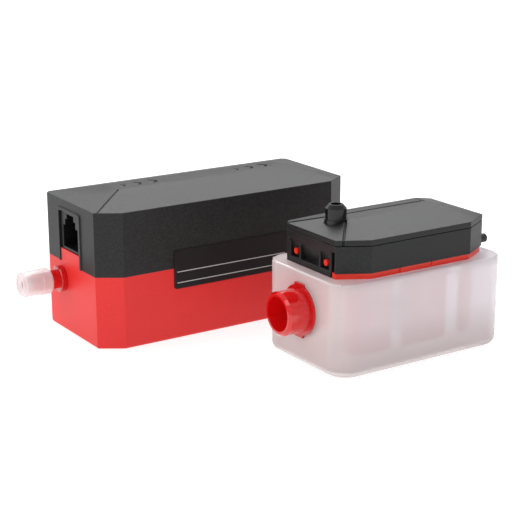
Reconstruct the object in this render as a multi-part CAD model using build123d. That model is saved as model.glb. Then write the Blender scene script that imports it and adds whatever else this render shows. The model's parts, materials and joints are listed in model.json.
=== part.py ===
from build123d import *
import os

# Condensate pump set in two units that stand side by side: a piston pump in a hip-roofed
# casing, and a float tank that collects the water. Millimetres, +Z up, +X along the pump from
# its suction end to its discharge end. The origin is the centre of the pump unit's underside.

# Casing of the pump unit
pump_length = 107.2
pump_width = 44.7
split_height = 26.9
lid_wall_height = 23.5
ridge_rise = 3.7
ridge_end_inset = 16.9
ridge_front_inset = 18.6
ridge_rear_inset = 16.1
front_cut_x = 8.5
front_cut_y = 5.5
rear_cut = 1.6
casing_wall = 2.0
casing_floor = 2.0
underside_round = 1.2
lip_height = 1.5
lip_wall = 0.9
lip_gap = 0.12
hip_groove_half = 0.45
hip_groove_start = 1 / 7

# Chevrons cut into the flat strip of the lid
chevron_sizes = (3.0, 4.4, 5.6)
chevron_pitch = 5.9
chevron_left_inset = 3.9
chevron_right_inset = 20.6
chevron_depth = 0.4
chevron_stroke = 0.24

# Rating label, left blank
label_length = 49.4
label_height = 14.5
label_bottom = 19.1
label_thickness = 0.3
label_corner = 1.0

# Socket windows, one in each end wall of the casing
window_y = 2.7
window_width = 15.8
window_head = 4.1
window_corner = 1.2
tongue_cover = 0.3
tongue_gap = 0.25
window_border = 1.0
window_border_proud = 0.4

# Tube fittings through the end walls of the base
fitting_y = 10.15
fitting_z = 20.0
collar_radius = 4.85
collar_length = 2.3
collar_bevel = 0.3
spigot_radius = 3.55
spigot_length = 13.2
spigot_bevel = 0.6
mouth_depth = 1.0
nipple_radius = 1.45
nipple_length = 1.8
nipple_bore = 0.9
shank_radius = 4.0
shank_depth = 3.6
wall_hole_gap = 0.05
hose_tail_radius = 2.4
hose_tail_length = 5.0
barb_length = 1.5
barb_height = 0.3
barb_tip = 0.2
water_bore = 1.3
locknut_flats = 10.5
locknut_thickness = 2.6

# Tube nuts on the fittings
tube_radius = 2.5
tube_gap = 0.1
nut_start = 5.5
nut_length = 11.4
nut_rim_radius = 4.95
nut_rim_length = 3.9
nut_barrel_radius = 4.65
nut_face_radius = 3.9
nut_bevel = 0.9
nut_rim_bevel = 0.6
nut_thread_gap = 0.1
nut_end_wall = 1.7
ferrule_radius = 3.2
ferrule_length = 1.4
ferrule_gap = 0.1
ferrule_play = 0.3

# Piston pump along X, inside the base
pump_axis_x = -2.15
pump_axis_y = 4.0
pump_axis_z = 15.4
running_gap = 0.05
fixed_gap = 0.02
barrel_wall = 1.0
barrel_half = 20.0
armature_radius = 4.25
armature_length = 18.0
armature_stroke = 5.0
armature_bore = 1.4
piston_radius = 2.3
piston_length = 12.0
piston_throat = 1.0
piston_throat_length = 1.2
piston_end_clearance = 0.4
sleeve_wall = 1.0
sleeve_gap = 3.0
bobbin_wall = 1.0
bobbin_flange_radius = 11.0
bobbin_flange = 1.2
winding_radius = 10.4
yoke_length = 34.0
yoke_height = 25.6
yoke_depth = 20.0
yoke_plate = 1.6
seal_radius = 3.6
seal_length = 2.2
washer_thickness = 0.8
cylinder_gap = 0.15
seat_bore = 1.2
seat_thickness = 1.2
head_radius = 7.5
head_gap = 0.2
cap_thickness = 3.8
delivery_chamber_radius = 4.0
delivery_flange = 1.6
outlet_wall = 1.3
suction_valve_radius = 2.1
suction_valve_thickness = 0.8
suction_valve_lift = 0.8
suction_stem_radius = 0.65
stem_tip_radius = 1.15
stem_tip_length = 0.8
stem_play = 0.1
delivery_valve_radius = 2.4
delivery_valve_thickness = 1.0
delivery_valve_lift = 1.0
delivery_guide_length = 1.2
delivery_guide_gap = 0.2
power_spring_wire = 0.6
power_spring_radius = 3.6
power_spring_turns = 5
power_spring_closed = 4.2
buffer_spring_wire = 0.5
buffer_spring_radius = 3.3
buffer_spring_turns = 3
buffer_spring_length = 3.4
delivery_spring_wire = 0.35
delivery_spring_radius = 1.5
delivery_spring_turns = 3
delivery_spring_closed = 2.6

# Rubber mounts and their saddles in the base
mount_radius = 10.0
mount_groove = 1.0
mount_width = 4.6
saddle_thickness = 3.0
saddle_offset = 20.8
saddle_width = 25.0

# Hoses between the fittings and the pump
hose_wall = 1.0
hose_bend = 8.0
hose_straight = 3.0
hose_end_gap = 0.3
hose_sides = 12

# Control board and what stands on it
board_clearance = 1.6
board_thickness = 1.6
board_gap = 0.6
board_post_radius = 2.6
board_post_front_inset = (27.6, 6.35)
board_post_rear_inset = (28.6, 5.35)
board_screw_radius = 1.0
board_screw_length = 7.0
screw_head_radius = 2.0
screw_head_height = 1.4
transformer_size = (20.0, 17.0, 14.0)
transformer_place = (14.0, -2.5)
transformer_chamfer = 1.2
relay_size = (15.5, 9.0, 12.0)
relay_place = (-22.25, -9.5)
relay_corner = 0.8
capacitor_radius = 5.0
capacitor_height = 14.0
capacitor_crimp = 0.4
capacitor_crimp_height = 1.6
capacitor_place = (-6.0, 8.0)
fuse_radius = 4.2
fuse_height = 7.5
fuse_place = (33.5, -10.0)

# Screws that hold the lid, driven from the underside
lid_screw_front_inset = (8.0, 7.85)
lid_screw_rear_inset = (19.6, 5.95)
lid_boss_radius = 3.5
lid_screw_radius = 1.4
lid_screw_length = 18.0
lid_screw_head_radius = 2.6
lid_screw_recess = 14.0
screw_gap = 0.2

# Sockets
socket_gap = 0.2
socket_recess = 0.4
socket_depth = 14.0
port_width = 11.8
port_height = 8.2
port_floor = 1.1
port_depth = 12.0
port_steps = ((8.4, 2.4), (5.6, 2.0))
contact_count = 6
contact_pitch = 1.02
contact_width = 0.5
contact_start = 3.0
contact_foot = 1.0
contact_rise = 2.6
pin_count = 3
pin_pitch = 3.4
pin_width = 1.0
pin_length = 7.0

# Tank unit
tank_x = 35.8
tank_y = -68.4
tub_length = 73.85
tub_width = 46.35
tub_height = 33.3
tub_corner = 8.0
tub_wall = 1.7
tub_floor = 1.7
tub_base_round = 3.0
rim_width = 3.6
rim_thickness = 3.0
rim_round = 1.1
ledge_width = 1.2
ledge_depth = 1.8

# Drain inlet on the left end of the tub
inlet_z = 19.8
inlet_radius = 7.85
inlet_bore = 6.1
inlet_length = 9.6
inlet_bevel = 0.9
inlet_flange_radius = 9.1
inlet_flange = 0.9
inlet_lug_width = 5.0
inlet_lug_reach = 10.6
inlet_shank = 8.2
inlet_shank_gap = 0.1
inlet_shank_spare = 0.3
inlet_seal_radius = 9.7
inlet_seal_thickness = 1.3
inlet_ring_radius = 9.8
inlet_ring_thickness = 2.0
inlet_ring_notches = 8
inlet_notch_width = 2.0
inlet_notch_depth = 0.8

# Red tray that closes the tub and carries the level sensor
tray_gap = 0.2
tray_plate = 1.7
collar_inset = 0.5
collar_width = 4.2
collar_rise = 2.0
tongue_wall = 1.2
tongue_rise = 4.1
peg_radius = 1.1
peg_inset = 4.975
peg_rise = 2.5
peg_setback = 0.4
peg_gap = 0.1
seam_rib = 0.6
seam_rib_places = (28.0, 42.0)
baffle_inset = 5.2
baffle_wall = 1.4
baffle_bottom = 6.0
seam_rib_setback = 0.1
seam_rib_gap = 0.2
baffle_left_inset = 8.0
baffle_right_inset = 7.85
baffle_gaps = ((-11.725, 5.7), (12.675, 6.5))

# Black head on top of the tray
head_margin_x = 4.375
head_margin_y = 3.25
head_cut_x = 10.7
head_cut_y = 6.1
head_wall = 1.6
head_side_height = 11.6
head_rise = 3.2
head_skirt = 1.9
head_slit = 0.3
head_end_inset = 12.6
head_side_inset = 16.2
head_lip = 1.4
head_recess = 1.9
head_recess_height = 6.9
head_recess_slope = 1.5
head_bar = 1.6
head_rib = 0.9
head_rib_insets = (1.525, 8.125)
head_backing = 1.3
head_groove_half = 0.45
head_lip_gap = 0.1
head_lip_wall = 1.0
head_groove_foot = 0.55
head_screw_left_inset = 22.55
head_screw_right_inset = 8.55
head_boss_radius = 2.6
head_screw_radius = 1.3
head_screw_length = 9.0

# Suction stub, dip tube and strainer
stub_inset = 10.175
stub_radius = 3.75
stub_top_radius = 2.5
stub_rise = 3.9
stub_taper = 1.4
stub_bore = 1.9
stub_flange_radius = 5.2
stub_flange = 1.3
stub_seat_drop = 0.7
stub_hole_gap = 0.06
stub_collar_radius = 4.1
stub_collar_rise = 0.1
stub_tail_radius = 1.45
stub_tail_bore = 0.9
stub_tail_length = 3.9
dip_tube_radius = 2.5
dip_tube_bore = 1.5
dip_tube_bottom = 8.0
dip_tube_gap = 0.2
strainer_radius = 4.5
strainer_wall = 0.9
strainer_bottom = 2.4
strainer_top = 11.0
strainer_slots = 8
strainer_slot_width = 1.2
strainer_slot_foot = 1.6
strainer_slot_head = 0.8

# Float, its stem and the level sensor
stem_right_inset = 22.475
stem_radius = 3.2
stem_bore = 2.1
stem_floor = 1.0
stem_foot = 1.0
clip_play = 0.05
clip_thickness = 0.6
clip_radius = 4.6
clip_groove = 0.3
float_radius = 9.0
float_height = 10.0
float_gap = 0.3
float_floor_room = 4.0
float_rest_gap = 0.1
float_bevel = 1.0
magnet_radius = 5.6
magnet_height = 3.0
strip_width = 3.2
strip_thickness = 1.0
strip_rise = 7.7
strip_foot_gap = 0.1
sensor_size = (2.0, 1.0, 2.4)
sensor_levels = (16.0, 21.0, 26.0)

# Grommet of the sensor lead in the right end of the head
grommet_y = 12.2
grommet_rise = 1.7
grommet_radius = 1.6
grommet_neck = 1.25
grommet_reach = 4.6
grommet_flange = 1.0
grommet_tip = 0.7

# Derived places
wall_top = split_height + lid_wall_height
ridge_height = wall_top + ridge_rise
window_top = wall_top - window_head
board_bottom = pump_axis_z + yoke_height / 2 + board_clearance
board_top = board_bottom + board_thickness
tongue_top = board_top + tongue_cover
half_length = pump_length / 2
half_width = pump_width / 2
barrel_bore = armature_radius + running_gap
barrel_radius = barrel_bore + barrel_wall
piston_bore = piston_radius + running_gap
tub_left = tank_x - tub_length / 2
tub_front = tank_y - tub_width / 2
tray_bottom = tub_height - ledge_depth
tray_top = tray_bottom + tray_plate
head_length = tub_length - 2 * head_margin_x
head_width = tub_width - 2 * head_margin_y
head_bottom = tub_height + collar_rise
head_edge = head_bottom + head_side_height
head_ridge = head_edge + head_rise
head_joint = head_edge - head_skirt
head_left = tank_x - head_length / 2
head_right = tank_x + head_length / 2
head_recess_top = head_bottom + head_recess_height
head_recess_half = head_width / 2 - head_cut_y
head_screw_places = (head_left + head_screw_left_inset, head_right - head_screw_right_inset)
grommet_z = head_bottom + grommet_rise
stub_place = head_left + stub_inset
stub_flange_top = head_edge - stub_seat_drop
stub_collar_top = head_ridge + stub_collar_rise
stub_shoulder = head_ridge + stub_rise
stub_top = stub_shoulder + stub_taper
stem_place = head_right - stem_right_inset
strip_top = head_bottom + strip_rise
float_bottom = tub_floor + float_floor_room
clip_bottom = float_bottom - float_rest_gap - clip_thickness
stem_bottom = clip_bottom - stem_foot


def block(x_span, y_span, z_span):
    """Box between two values along each axis."""
    size = [high - low for low, high in (x_span, y_span, z_span)]
    middle = [(high + low) / 2 for low, high in (x_span, y_span, z_span)]
    return Pos(*middle) * Box(*size)


def rod_x(radius, x_span, y, z):
    """Cylinder along X between two values."""
    low, high = x_span
    return Pos((low + high) / 2, y, z) * Rot(0, 90, 0) * Cylinder(radius, high - low)


def rod_z(radius, z_span, x, y):
    """Upright cylinder between two heights."""
    low, high = z_span
    return Pos(x, y, (low + high) / 2) * Cylinder(radius, high - low)


def tube_z(radius, bore, z_span, x, y):
    """Upright tube between two heights."""
    return rod_z(radius, z_span, x, y) - rod_z(bore, z_span, x, y)


def turned(outline, y, z, side=1):
    """Solid of revolution about a line along X. The outline is (x, radius) points."""
    profile = make_face(Polyline(*outline, close=True))
    solid = revolve(profile, Axis.X)
    if side < 0:
        solid = mirror(solid, about=Plane.YZ)
    return Pos(0, y, z) * solid


def ring_outline(x_span, bore, radius):
    """Outline of a plain ring for turned()."""
    low, high = x_span
    return [(low, bore), (high, bore), (high, radius), (low, radius)]


def coil_spring(x_span, radius, wire, turns):
    """Compression spring along X, with a square wire to keep its faces few."""
    low, high = x_span
    rise = high - low - wire
    path = Helix(pitch=rise / turns, height=rise, radius=radius - wire / 2)
    section = Plane(path @ 0, z_dir=path % 0) * RegularPolygon(wire / 2, 4)
    spring = sweep(section, path=path, is_frenet=True)
    return Pos(low + wire / 2, pump_axis_y, pump_axis_z) * Rot(0, 90, 0) * spring


def plan_corners(length, width, front_cut, rear_cut_size):
    """Eight corners of a plan with cut corners, anticlockwise from the front left."""
    half_x = length / 2
    half_y = width / 2
    front_x, front_y = front_cut
    rear_x, rear_y = rear_cut_size
    return [
        (-half_x + front_x, -half_y),
        (half_x - front_x, -half_y),
        (half_x, -half_y + front_y),
        (half_x, half_y - rear_y),
        (half_x - rear_x, half_y),
        (-half_x + rear_x, half_y),
        (-half_x, half_y - rear_y),
        (-half_x, -half_y + front_y),
    ]


def plan_face(corners, inset=0):
    """Face of a plan, moved inwards by the inset."""
    face = make_face(Polyline(*corners, close=True))
    if inset:
        face = offset(face, amount=-inset, kind=Kind.INTERSECTION)
    return face


def plan_prism(corners, inset, z_span):
    """Upright prism on an inset plan."""
    low, high = z_span
    return Pos(0, 0, low) * extrude(plan_face(corners, inset), amount=high - low)


def hip_planes(corners, ridge, edge_z, ridge_z):
    """One sloping plane over each edge of the plan, up to its corner of the ridge strip."""
    planes = []
    for index, ridge_index in enumerate((0, 1, 1, 2, 2, 3, 3, 0)):
        start = Vector(*corners[index], edge_z)
        end = Vector(*corners[(index + 1) % 8], edge_z)
        top = Vector(*ridge[ridge_index], ridge_z)
        normal = (end - start).cross(top - start)
        planes.append(Plane(origin=start, x_dir=end - start, z_dir=normal))
    return planes


def hipped_block(corners, ridge, z_low, edge_z, ridge_z, inset=0):
    """Closed block under a hip roof. The inset moves every wall and slope inwards."""
    body = plan_prism(corners, inset, (z_low, ridge_z - inset))
    for plane in hip_planes(corners, ridge, edge_z, ridge_z):
        body = split(body, bisect_by=plane.offset(-inset), keep=Keep.BOTTOM)
    return body


def ridge_corners(length, width, end_inset, front_inset, rear_inset):
    """Corners of the flat strip, anticlockwise from the front left."""
    left = -length / 2 + end_inset
    right = length / 2 - end_inset
    front = -width / 2 + front_inset
    rear = width / 2 - rear_inset
    return [(left, front), (right, front), (right, rear), (left, rear)]


def corner_places(front_inset, rear_inset):
    """Two places near the front corners and two near the rear corners of the casing."""
    places = []
    for row, (across, deep) in ((-1, front_inset), (1, rear_inset)):
        for side in (-1, 1):
            places.append((side * (half_length - across), row * (half_width - deep)))
    return places


def hose_tail(root, tip):
    """Outline points of a barbed hose tail, from the bore at its tip to its root."""
    way = 1 if root > tip else -1
    barb_end = tip + way * barb_length
    return [
        (tip, water_bore), (tip, hose_tail_radius - barb_tip),
        (barb_end, hose_tail_radius + barb_height), (barb_end, hose_tail_radius),
        (root, hose_tail_radius),
    ]


def v_groove(start, end, half, facing=(0, 0, 1)):
    """Four-sided bar along a line, which cuts a V into the surface that the line lies on."""
    run = Vector(*end) - Vector(*start)
    section = Plane(origin=start, x_dir=facing, z_dir=run) * RegularPolygon(half, 4)
    return extrude(section, amount=run.length)


def along(start, end, share):
    """Point at a share of the way from start to end."""
    return tuple(a + (b - a) * share for a, b in zip(start, end))


casing_plan = plan_corners(pump_length, pump_width, (front_cut_x, front_cut_y), (rear_cut, rear_cut))
casing_ridge = ridge_corners(
    pump_length, pump_width, ridge_end_inset, ridge_front_inset, ridge_rear_inset
)
lid_screws_at = corner_places(lid_screw_front_inset, lid_screw_rear_inset)
board_posts = corner_places(board_post_front_inset, board_post_rear_inset)


def casing_lip(extra):
    """Ring that the base slides into the lid, widened by the gap for the lid's rebate."""
    outside = casing_wall - lip_wall - extra
    ring = plan_prism(casing_plan, outside, (split_height, split_height + lip_height + extra))
    return ring - plan_prism(casing_plan, casing_wall, (split_height, wall_top))


def window_opening(side, inset, x_span, z_span):
    """Block through a socket window on one end wall, with the window's rounded top."""
    half = window_width / 2 - inset
    low, high = z_span
    shape = block(x_span, (window_y - half, window_y + half), (low, high))
    top_edges = shape.edges().filter_by(Axis.X).group_by(Axis.Z)[-1]
    shape = fillet(top_edges, window_corner)
    return shape if side > 0 else mirror(shape, about=Plane.YZ)


def make_base():
    """Red lower casing with its socket tongues, saddles, posts and screw bosses."""
    outer = plan_prism(casing_plan, 0, (0, split_height))
    outer = fillet(outer.edges().group_by(Axis.Z)[0], underside_round)
    base = outer - plan_prism(casing_plan, casing_wall, (casing_floor, split_height))
    base += casing_lip(0)
    inner_wall = half_length - casing_wall
    half_tongue = window_width / 2 - tongue_gap
    for side in (-1, 1):
        gap_span = sorted((side * inner_wall, side * half_length))
        cut_span = sorted((side * (inner_wall - 1), side * (half_length + 1)))
        y_cut = (window_y - window_width / 2, window_y + window_width / 2)
        y_tongue = (window_y - half_tongue, window_y + half_tongue)
        base -= block(cut_span, y_cut, (split_height, wall_top))
        base += block(gap_span, y_tongue, (split_height - 1, tongue_top))
        hole = rod_x(shank_radius + wall_hole_gap, cut_span, fitting_y, fitting_z)
        base -= hole
    for place in (-saddle_offset, saddle_offset):
        x_span = (
            pump_axis_x + place - saddle_thickness / 2,
            pump_axis_x + place + saddle_thickness / 2,
        )
        y_span = (pump_axis_y - saddle_width / 2, pump_axis_y + saddle_width / 2)
        saddle = block(x_span, y_span, (casing_floor, pump_axis_z))
        groove = mount_radius - mount_groove + fixed_gap
        saddle -= rod_x(groove, x_span, pump_axis_y, pump_axis_z)
        base += saddle
    for x, y in board_posts:
        base += rod_z(board_post_radius, (casing_floor, board_bottom), x, y)
        base -= rod_z(board_screw_radius - fixed_gap, (board_top - board_screw_length, board_bottom), x, y)
    for x, y in lid_screws_at:
        base += rod_z(lid_boss_radius, (casing_floor, split_height), x, y)
        base -= rod_z(lid_screw_head_radius + screw_gap, (0, lid_screw_recess), x, y)
        base -= rod_z(lid_screw_radius + screw_gap, (0, split_height), x, y)
    return base


def make_lid():
    """Black hip-roofed lid with its socket windows, grooves, chevrons and bosses."""
    outer = hipped_block(casing_plan, casing_ridge, split_height, wall_top, ridge_height)
    inner = hipped_block(
        casing_plan, casing_ridge, split_height, wall_top, ridge_height, casing_wall
    )
    lid = outer - inner - casing_lip(lip_gap)
    for side in (-1, 1):
        border_x = (half_length - lip_gap, half_length + window_border_proud)
        border_z = (split_height, window_top + window_border)
        through_x = (half_length - casing_wall - 1, half_length + 1)
        lid += window_opening(side, -window_border, border_x, border_z)
        lid -= window_opening(side, 0, through_x, (split_height, window_top))
    for x, y in lid_screws_at:
        pilot_top = lid_screw_recess + lid_screw_length + 1
        lid += rod_z(lid_boss_radius - screw_gap, (split_height, wall_top), x, y)
        lid -= rod_z(lid_screw_radius - fixed_gap, (split_height, pilot_top), x, y)
    chamfer_start = (*casing_plan[7], wall_top)
    chamfer_end = (*casing_plan[0], wall_top)
    groove_foot = along(chamfer_start, chamfer_end, hip_groove_start)
    groove_head = (*casing_ridge[0], ridge_height)
    lid -= v_groove(groove_foot, groove_head, hip_groove_half)
    strip_y = (casing_ridge[0][1] + casing_ridge[2][1]) / 2
    group_starts = (casing_ridge[0][0] + chevron_left_inset, casing_ridge[1][0] - chevron_right_inset)
    for start in group_starts:
        for index, size in enumerate(chevron_sizes):
            stroke = size * chevron_stroke
            half = size / 2
            arrow = make_face(Polyline(
                (0, -half), (stroke, -half), (half + stroke / 2, 0), (stroke, half),
                (0, half), (half - stroke / 2, 0), close=True,
            ))
            place = Pos(start + index * chevron_pitch, strip_y, ridge_height - chevron_depth)
            lid -= place * extrude(arrow, amount=2 * chevron_depth)
    return lid


def make_label():
    """Blank rating label with rounded corners on the front wall."""
    middle_z = label_bottom + label_height / 2
    face = RectangleRounded(label_length, label_height, label_corner)
    return Plane(origin=(0, -half_width, middle_z), x_dir=(1, 0, 0), z_dir=(0, -1, 0)) * extrude(
        face, amount=label_thickness
    )


def screw(x, y, head_z, length, radius, head_radius, head_height):
    """Pan-head screw. The head lies above head_z, or below it when length is negative."""
    if length > 0:
        shaft_span = (head_z - length, head_z)
        head_span = (head_z, head_z + head_height)
    else:
        shaft_span = (head_z, head_z - length)
        head_span = (head_z - head_height, head_z)
    head = rod_z(head_radius, head_span, x, y)
    outer_end = head.edges().filter_by(GeomType.CIRCLE).sort_by(Axis.Z)[-1 if length > 0 else 0]
    head = chamfer(outer_end, head_height / 4)
    return head + rod_z(radius, shaft_span, x, y)


def make_lid_screws():
    """Four screws in the deep recesses of the underside."""
    return [
        screw(x, y, lid_screw_recess, -lid_screw_length, lid_screw_radius - 2 * fixed_gap,
              lid_screw_head_radius, screw_head_height)
        for x, y in lid_screws_at
    ]


def outward(distances):
    """Outline distances measured outwards from an end wall, as (x, radius) points."""
    return [(half_length + out, radius) for out, radius in distances]


def make_fitting(side):
    """Tube fitting: collar and spigot outside, threaded shank and hose tail inside."""
    shank_end = -casing_wall - shank_depth
    tail_end = shank_end - hose_tail_length
    nose = spigot_length + nipple_length
    outline = outward(hose_tail(shank_end, tail_end) + [
        (shank_end, shank_radius), (0, shank_radius), (0, collar_radius),
        (collar_length - collar_bevel, collar_radius),
        (collar_length, collar_radius - collar_bevel),
        (collar_length, spigot_radius), (spigot_length - spigot_bevel, spigot_radius),
        (spigot_length, spigot_radius - spigot_bevel), (spigot_length, nipple_radius),
        (nose, nipple_radius), (nose, nipple_bore), (spigot_length, nipple_bore),
        (spigot_length - mouth_depth, water_bore),
    ])
    return turned(outline, fitting_y, fitting_z, side)


def make_locknut(side):
    """Hexagon nut that holds the fitting in the end wall from inside."""
    inner_face = half_length - casing_wall
    hexagon = RegularPolygon(locknut_flats / 2, 6, major_radius=False)
    seat = Plane(origin=(inner_face, fitting_y, fitting_z), x_dir=(0, 0, 1), z_dir=(-1, 0, 0))
    nut = seat * extrude(hexagon, amount=locknut_thickness)
    x_span = (inner_face - locknut_thickness, inner_face)
    nut -= rod_x(shank_radius + fixed_gap, x_span, fitting_y, fitting_z)
    return nut if side > 0 else mirror(nut, about=Plane.YZ)


def make_tube_nut(side):
    """Compression nut with a rim, a bevelled face and a hole for the tube."""
    end = nut_start + nut_length
    thread = spigot_radius + nut_thread_gap
    pocket = ferrule_radius + ferrule_gap
    pocket_end = end - nut_end_wall
    pocket_start = pocket_end - ferrule_length - 2 * ferrule_gap
    rim_end = nut_start + nut_rim_length
    tube_hole = tube_radius + tube_gap
    outline = outward([
        (nut_start, thread), (nut_start, nut_rim_radius - nut_rim_bevel),
        (nut_start + nut_rim_bevel, nut_rim_radius),
        (rim_end, nut_rim_radius), (rim_end, nut_barrel_radius),
        (end - nut_bevel, nut_barrel_radius), (end, nut_face_radius), (end, tube_hole),
        (pocket_end, tube_hole), (pocket_end, pocket), (pocket_start, pocket),
        (pocket_start, thread),
    ])
    return turned(outline, fitting_y, fitting_z, side)


def make_ferrule(side):
    """Ring inside the nut that grips the tube."""
    pocket_end = half_length + nut_start + nut_length - nut_end_wall
    x_span = (pocket_end - ferrule_gap - ferrule_length, pocket_end - ferrule_gap)
    outline = ring_outline(x_span, tube_radius + ferrule_play, ferrule_radius)
    return turned(outline, fitting_y, fitting_z, side)


def module(outline):
    """Turned piece of the pump, with X measured from the middle of its yoke."""
    return Pos(pump_axis_x, 0, 0) * turned(outline, pump_axis_y, pump_axis_z)


# Stations along the pump, from the middle of its yoke
yoke_half = yoke_length / 2
cap_socket = -yoke_half - head_gap
cap_floor = -barrel_half - head_gap
cap_end = cap_floor - cap_thickness
armature_start = cap_floor + power_spring_closed + armature_stroke
piston_start = armature_start + armature_length
piston_end = piston_start + piston_length
washer_start = piston_start + buffer_spring_length
seal_start = washer_start + washer_thickness
seal_end = seal_start + seal_length
cylinder_end = piston_end + suction_valve_thickness + suction_valve_lift + piston_end_clearance
seat_end = cylinder_end + seat_thickness
flange_start = yoke_half + head_gap
flange_end = seat_end + delivery_flange
chamber_end = seat_end + delivery_valve_thickness + delivery_valve_lift + delivery_spring_closed
outlet_end = chamber_end + outlet_wall


def make_inlet_cap():
    """Cap on the suction end of the barrel, with the inlet hose tail."""
    tail_end = cap_end - hose_tail_length
    socket = barrel_radius + fixed_gap
    return module(hose_tail(cap_end, tail_end) + [
        (cap_end, head_radius), (cap_socket, head_radius),
        (cap_socket, socket), (cap_floor, socket), (cap_floor, water_bore),
    ])


def make_barrel():
    """Pump barrel: armature bore, seal seat, cylinder and delivery seat in one moulding."""
    seal_seat = seal_radius + running_gap
    cylinder = piston_radius + cylinder_gap
    return module([
        (-barrel_half, barrel_bore), (washer_start, barrel_bore), (seal_start, barrel_bore),
        (seal_start, seal_seat), (seal_end, seal_seat), (seal_end, cylinder),
        (cylinder_end, cylinder), (cylinder_end, seat_bore), (seat_end, seat_bore),
        (seat_end, delivery_chamber_radius), (flange_end, delivery_chamber_radius),
        (flange_end, head_radius), (flange_start, head_radius), (flange_start, barrel_radius),
        (-barrel_half, barrel_radius),
    ])


def make_outlet_head():
    """Cover of the delivery chamber with the outlet hose tail."""
    tail_end = outlet_end + hose_tail_length
    chamber = [
        (flange_end, delivery_chamber_radius), (chamber_end, delivery_chamber_radius),
        (chamber_end, water_bore),
    ]
    wall = [(outlet_end, head_radius), (flange_end, head_radius)]
    return module(chamber + hose_tail(outlet_end, tail_end) + wall)


def make_mount_rings():
    """Grooved rubber rings that carry both ends of the pump in the saddles."""
    rings = []
    half = mount_width / 2
    half_saddle = saddle_thickness / 2 + fixed_gap
    for place in (-saddle_offset, saddle_offset):
        bore = head_radius + fixed_gap
        rings.append(module([
            (place - half, bore), (place + half, bore), (place + half, mount_radius),
            (place + half_saddle, mount_radius),
            (place + half_saddle, mount_radius - mount_groove),
            (place - half_saddle, mount_radius - mount_groove),
            (place - half_saddle, mount_radius), (place - half, mount_radius),
        ]))
    return rings


def make_yoke():
    """Steel frame that closes the magnetic circuit round the coil."""
    x_span = (pump_axis_x - yoke_half, pump_axis_x + yoke_half)
    y_span = (pump_axis_y - yoke_depth / 2, pump_axis_y + yoke_depth / 2)
    z_span = (pump_axis_z - yoke_height / 2, pump_axis_z + yoke_height / 2)
    frame = block(x_span, y_span, z_span)
    frame = fillet(frame.edges().filter_by(Axis.Y), yoke_plate)
    inner_x = (x_span[0] + yoke_plate, x_span[1] - yoke_plate)
    inner_z = (z_span[0] + yoke_plate, z_span[1] - yoke_plate)
    frame -= block(inner_x, y_span, inner_z)
    hole = barrel_radius + sleeve_wall + 2 * running_gap
    return frame - rod_x(hole, x_span, pump_axis_y, pump_axis_z)


def make_sleeves():
    """Two steel sleeves that lead the field to the armature."""
    bore = barrel_radius + fixed_gap
    radius = barrel_radius + sleeve_wall
    spans = ((-yoke_half, -sleeve_gap), (sleeve_gap, yoke_half))
    return [module(ring_outline(span, bore, radius)) for span in spans]


def make_bobbin():
    """Coil former with two flanges."""
    half = yoke_half - yoke_plate - running_gap
    bore = barrel_radius + sleeve_wall + running_gap
    tube = bore + bobbin_wall
    return module([
        (-half, bore), (half, bore), (half, bobbin_flange_radius),
        (half - bobbin_flange, bobbin_flange_radius), (half - bobbin_flange, tube),
        (-half + bobbin_flange, tube), (-half + bobbin_flange, bobbin_flange_radius),
        (-half, bobbin_flange_radius),
    ])


def make_winding():
    """Copper winding between the bobbin's flanges."""
    half = yoke_half - yoke_plate - running_gap - bobbin_flange - running_gap
    bore = barrel_radius + sleeve_wall + running_gap + bobbin_wall + fixed_gap
    return module(ring_outline((-half, half), bore, winding_radius))


def make_armature():
    """Hollow steel armature with the piston on its discharge end."""
    throat_start = piston_end - piston_throat_length
    return module([
        (armature_start, armature_bore), (throat_start, armature_bore),
        (throat_start, piston_throat), (piston_end, piston_throat),
        (piston_end, piston_radius), (piston_start, piston_radius),
        (piston_start, armature_radius), (armature_start, armature_radius),
    ])


def make_suction_valve():
    """Mushroom valve on the end of the piston, kept by its stem tip."""
    seat = piston_end + fixed_gap
    throat_start = piston_end - piston_throat_length
    tip_start = throat_start - suction_valve_lift - stem_play
    tip_end = tip_start - stem_tip_length
    return module([
        (tip_end, 0), (tip_end, stem_tip_radius), (tip_start, stem_tip_radius),
        (tip_start, suction_stem_radius), (seat, suction_stem_radius),
        (seat, suction_valve_radius), (seat + suction_valve_thickness, suction_valve_radius),
        (seat + suction_valve_thickness, 0),
    ])


def make_delivery_valve():
    """Spring-loaded poppet over the delivery seat."""
    seat = seat_end + fixed_gap
    back = seat + delivery_valve_thickness
    guide = delivery_spring_radius - delivery_spring_wire - delivery_guide_gap
    guide_end = back + delivery_guide_length
    return module([
        (seat, 0), (seat, delivery_valve_radius), (back, delivery_valve_radius),
        (back, guide), (guide_end, guide), (guide_end, 0),
    ])


def shift_span(low, high):
    """Span along the pump, moved from yoke stations to the part's frame."""
    return (pump_axis_x + low, pump_axis_x + high)


def make_hose(side):
    """Moulded hose between a fitting and the pump, in two equal bends."""
    fitting_end = half_length - casing_wall - shank_depth - hose_tail_length
    tail = -cap_end if side < 0 else outlet_end
    pump_side = tail + hose_tail_length + side * pump_axis_x
    overlap = hose_tail_length - hose_end_gap
    start = Vector(fitting_end + overlap, fitting_y, fitting_z)
    end = Vector(pump_side - overlap, pump_axis_y, pump_axis_z)
    first = Vector(fitting_end - hose_straight, fitting_y, fitting_z)
    second = Vector(pump_side + hose_straight, pump_axis_y, pump_axis_z)
    path = FilletPolyline(start, first, second, end, radius=hose_bend)
    bore = hose_tail_radius + barb_height + fixed_gap
    plane = Plane(origin=start, z_dir=(-1, 0, 0))
    outside = RegularPolygon(bore + hose_wall, hose_sides, major_radius=False)
    inside = RegularPolygon(bore, hose_sides, major_radius=False)
    hose = sweep(plane * outside, path=path) - sweep(plane * inside, path=path)
    return hose if side > 0 else mirror(hose, about=Plane.YZ)


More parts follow.
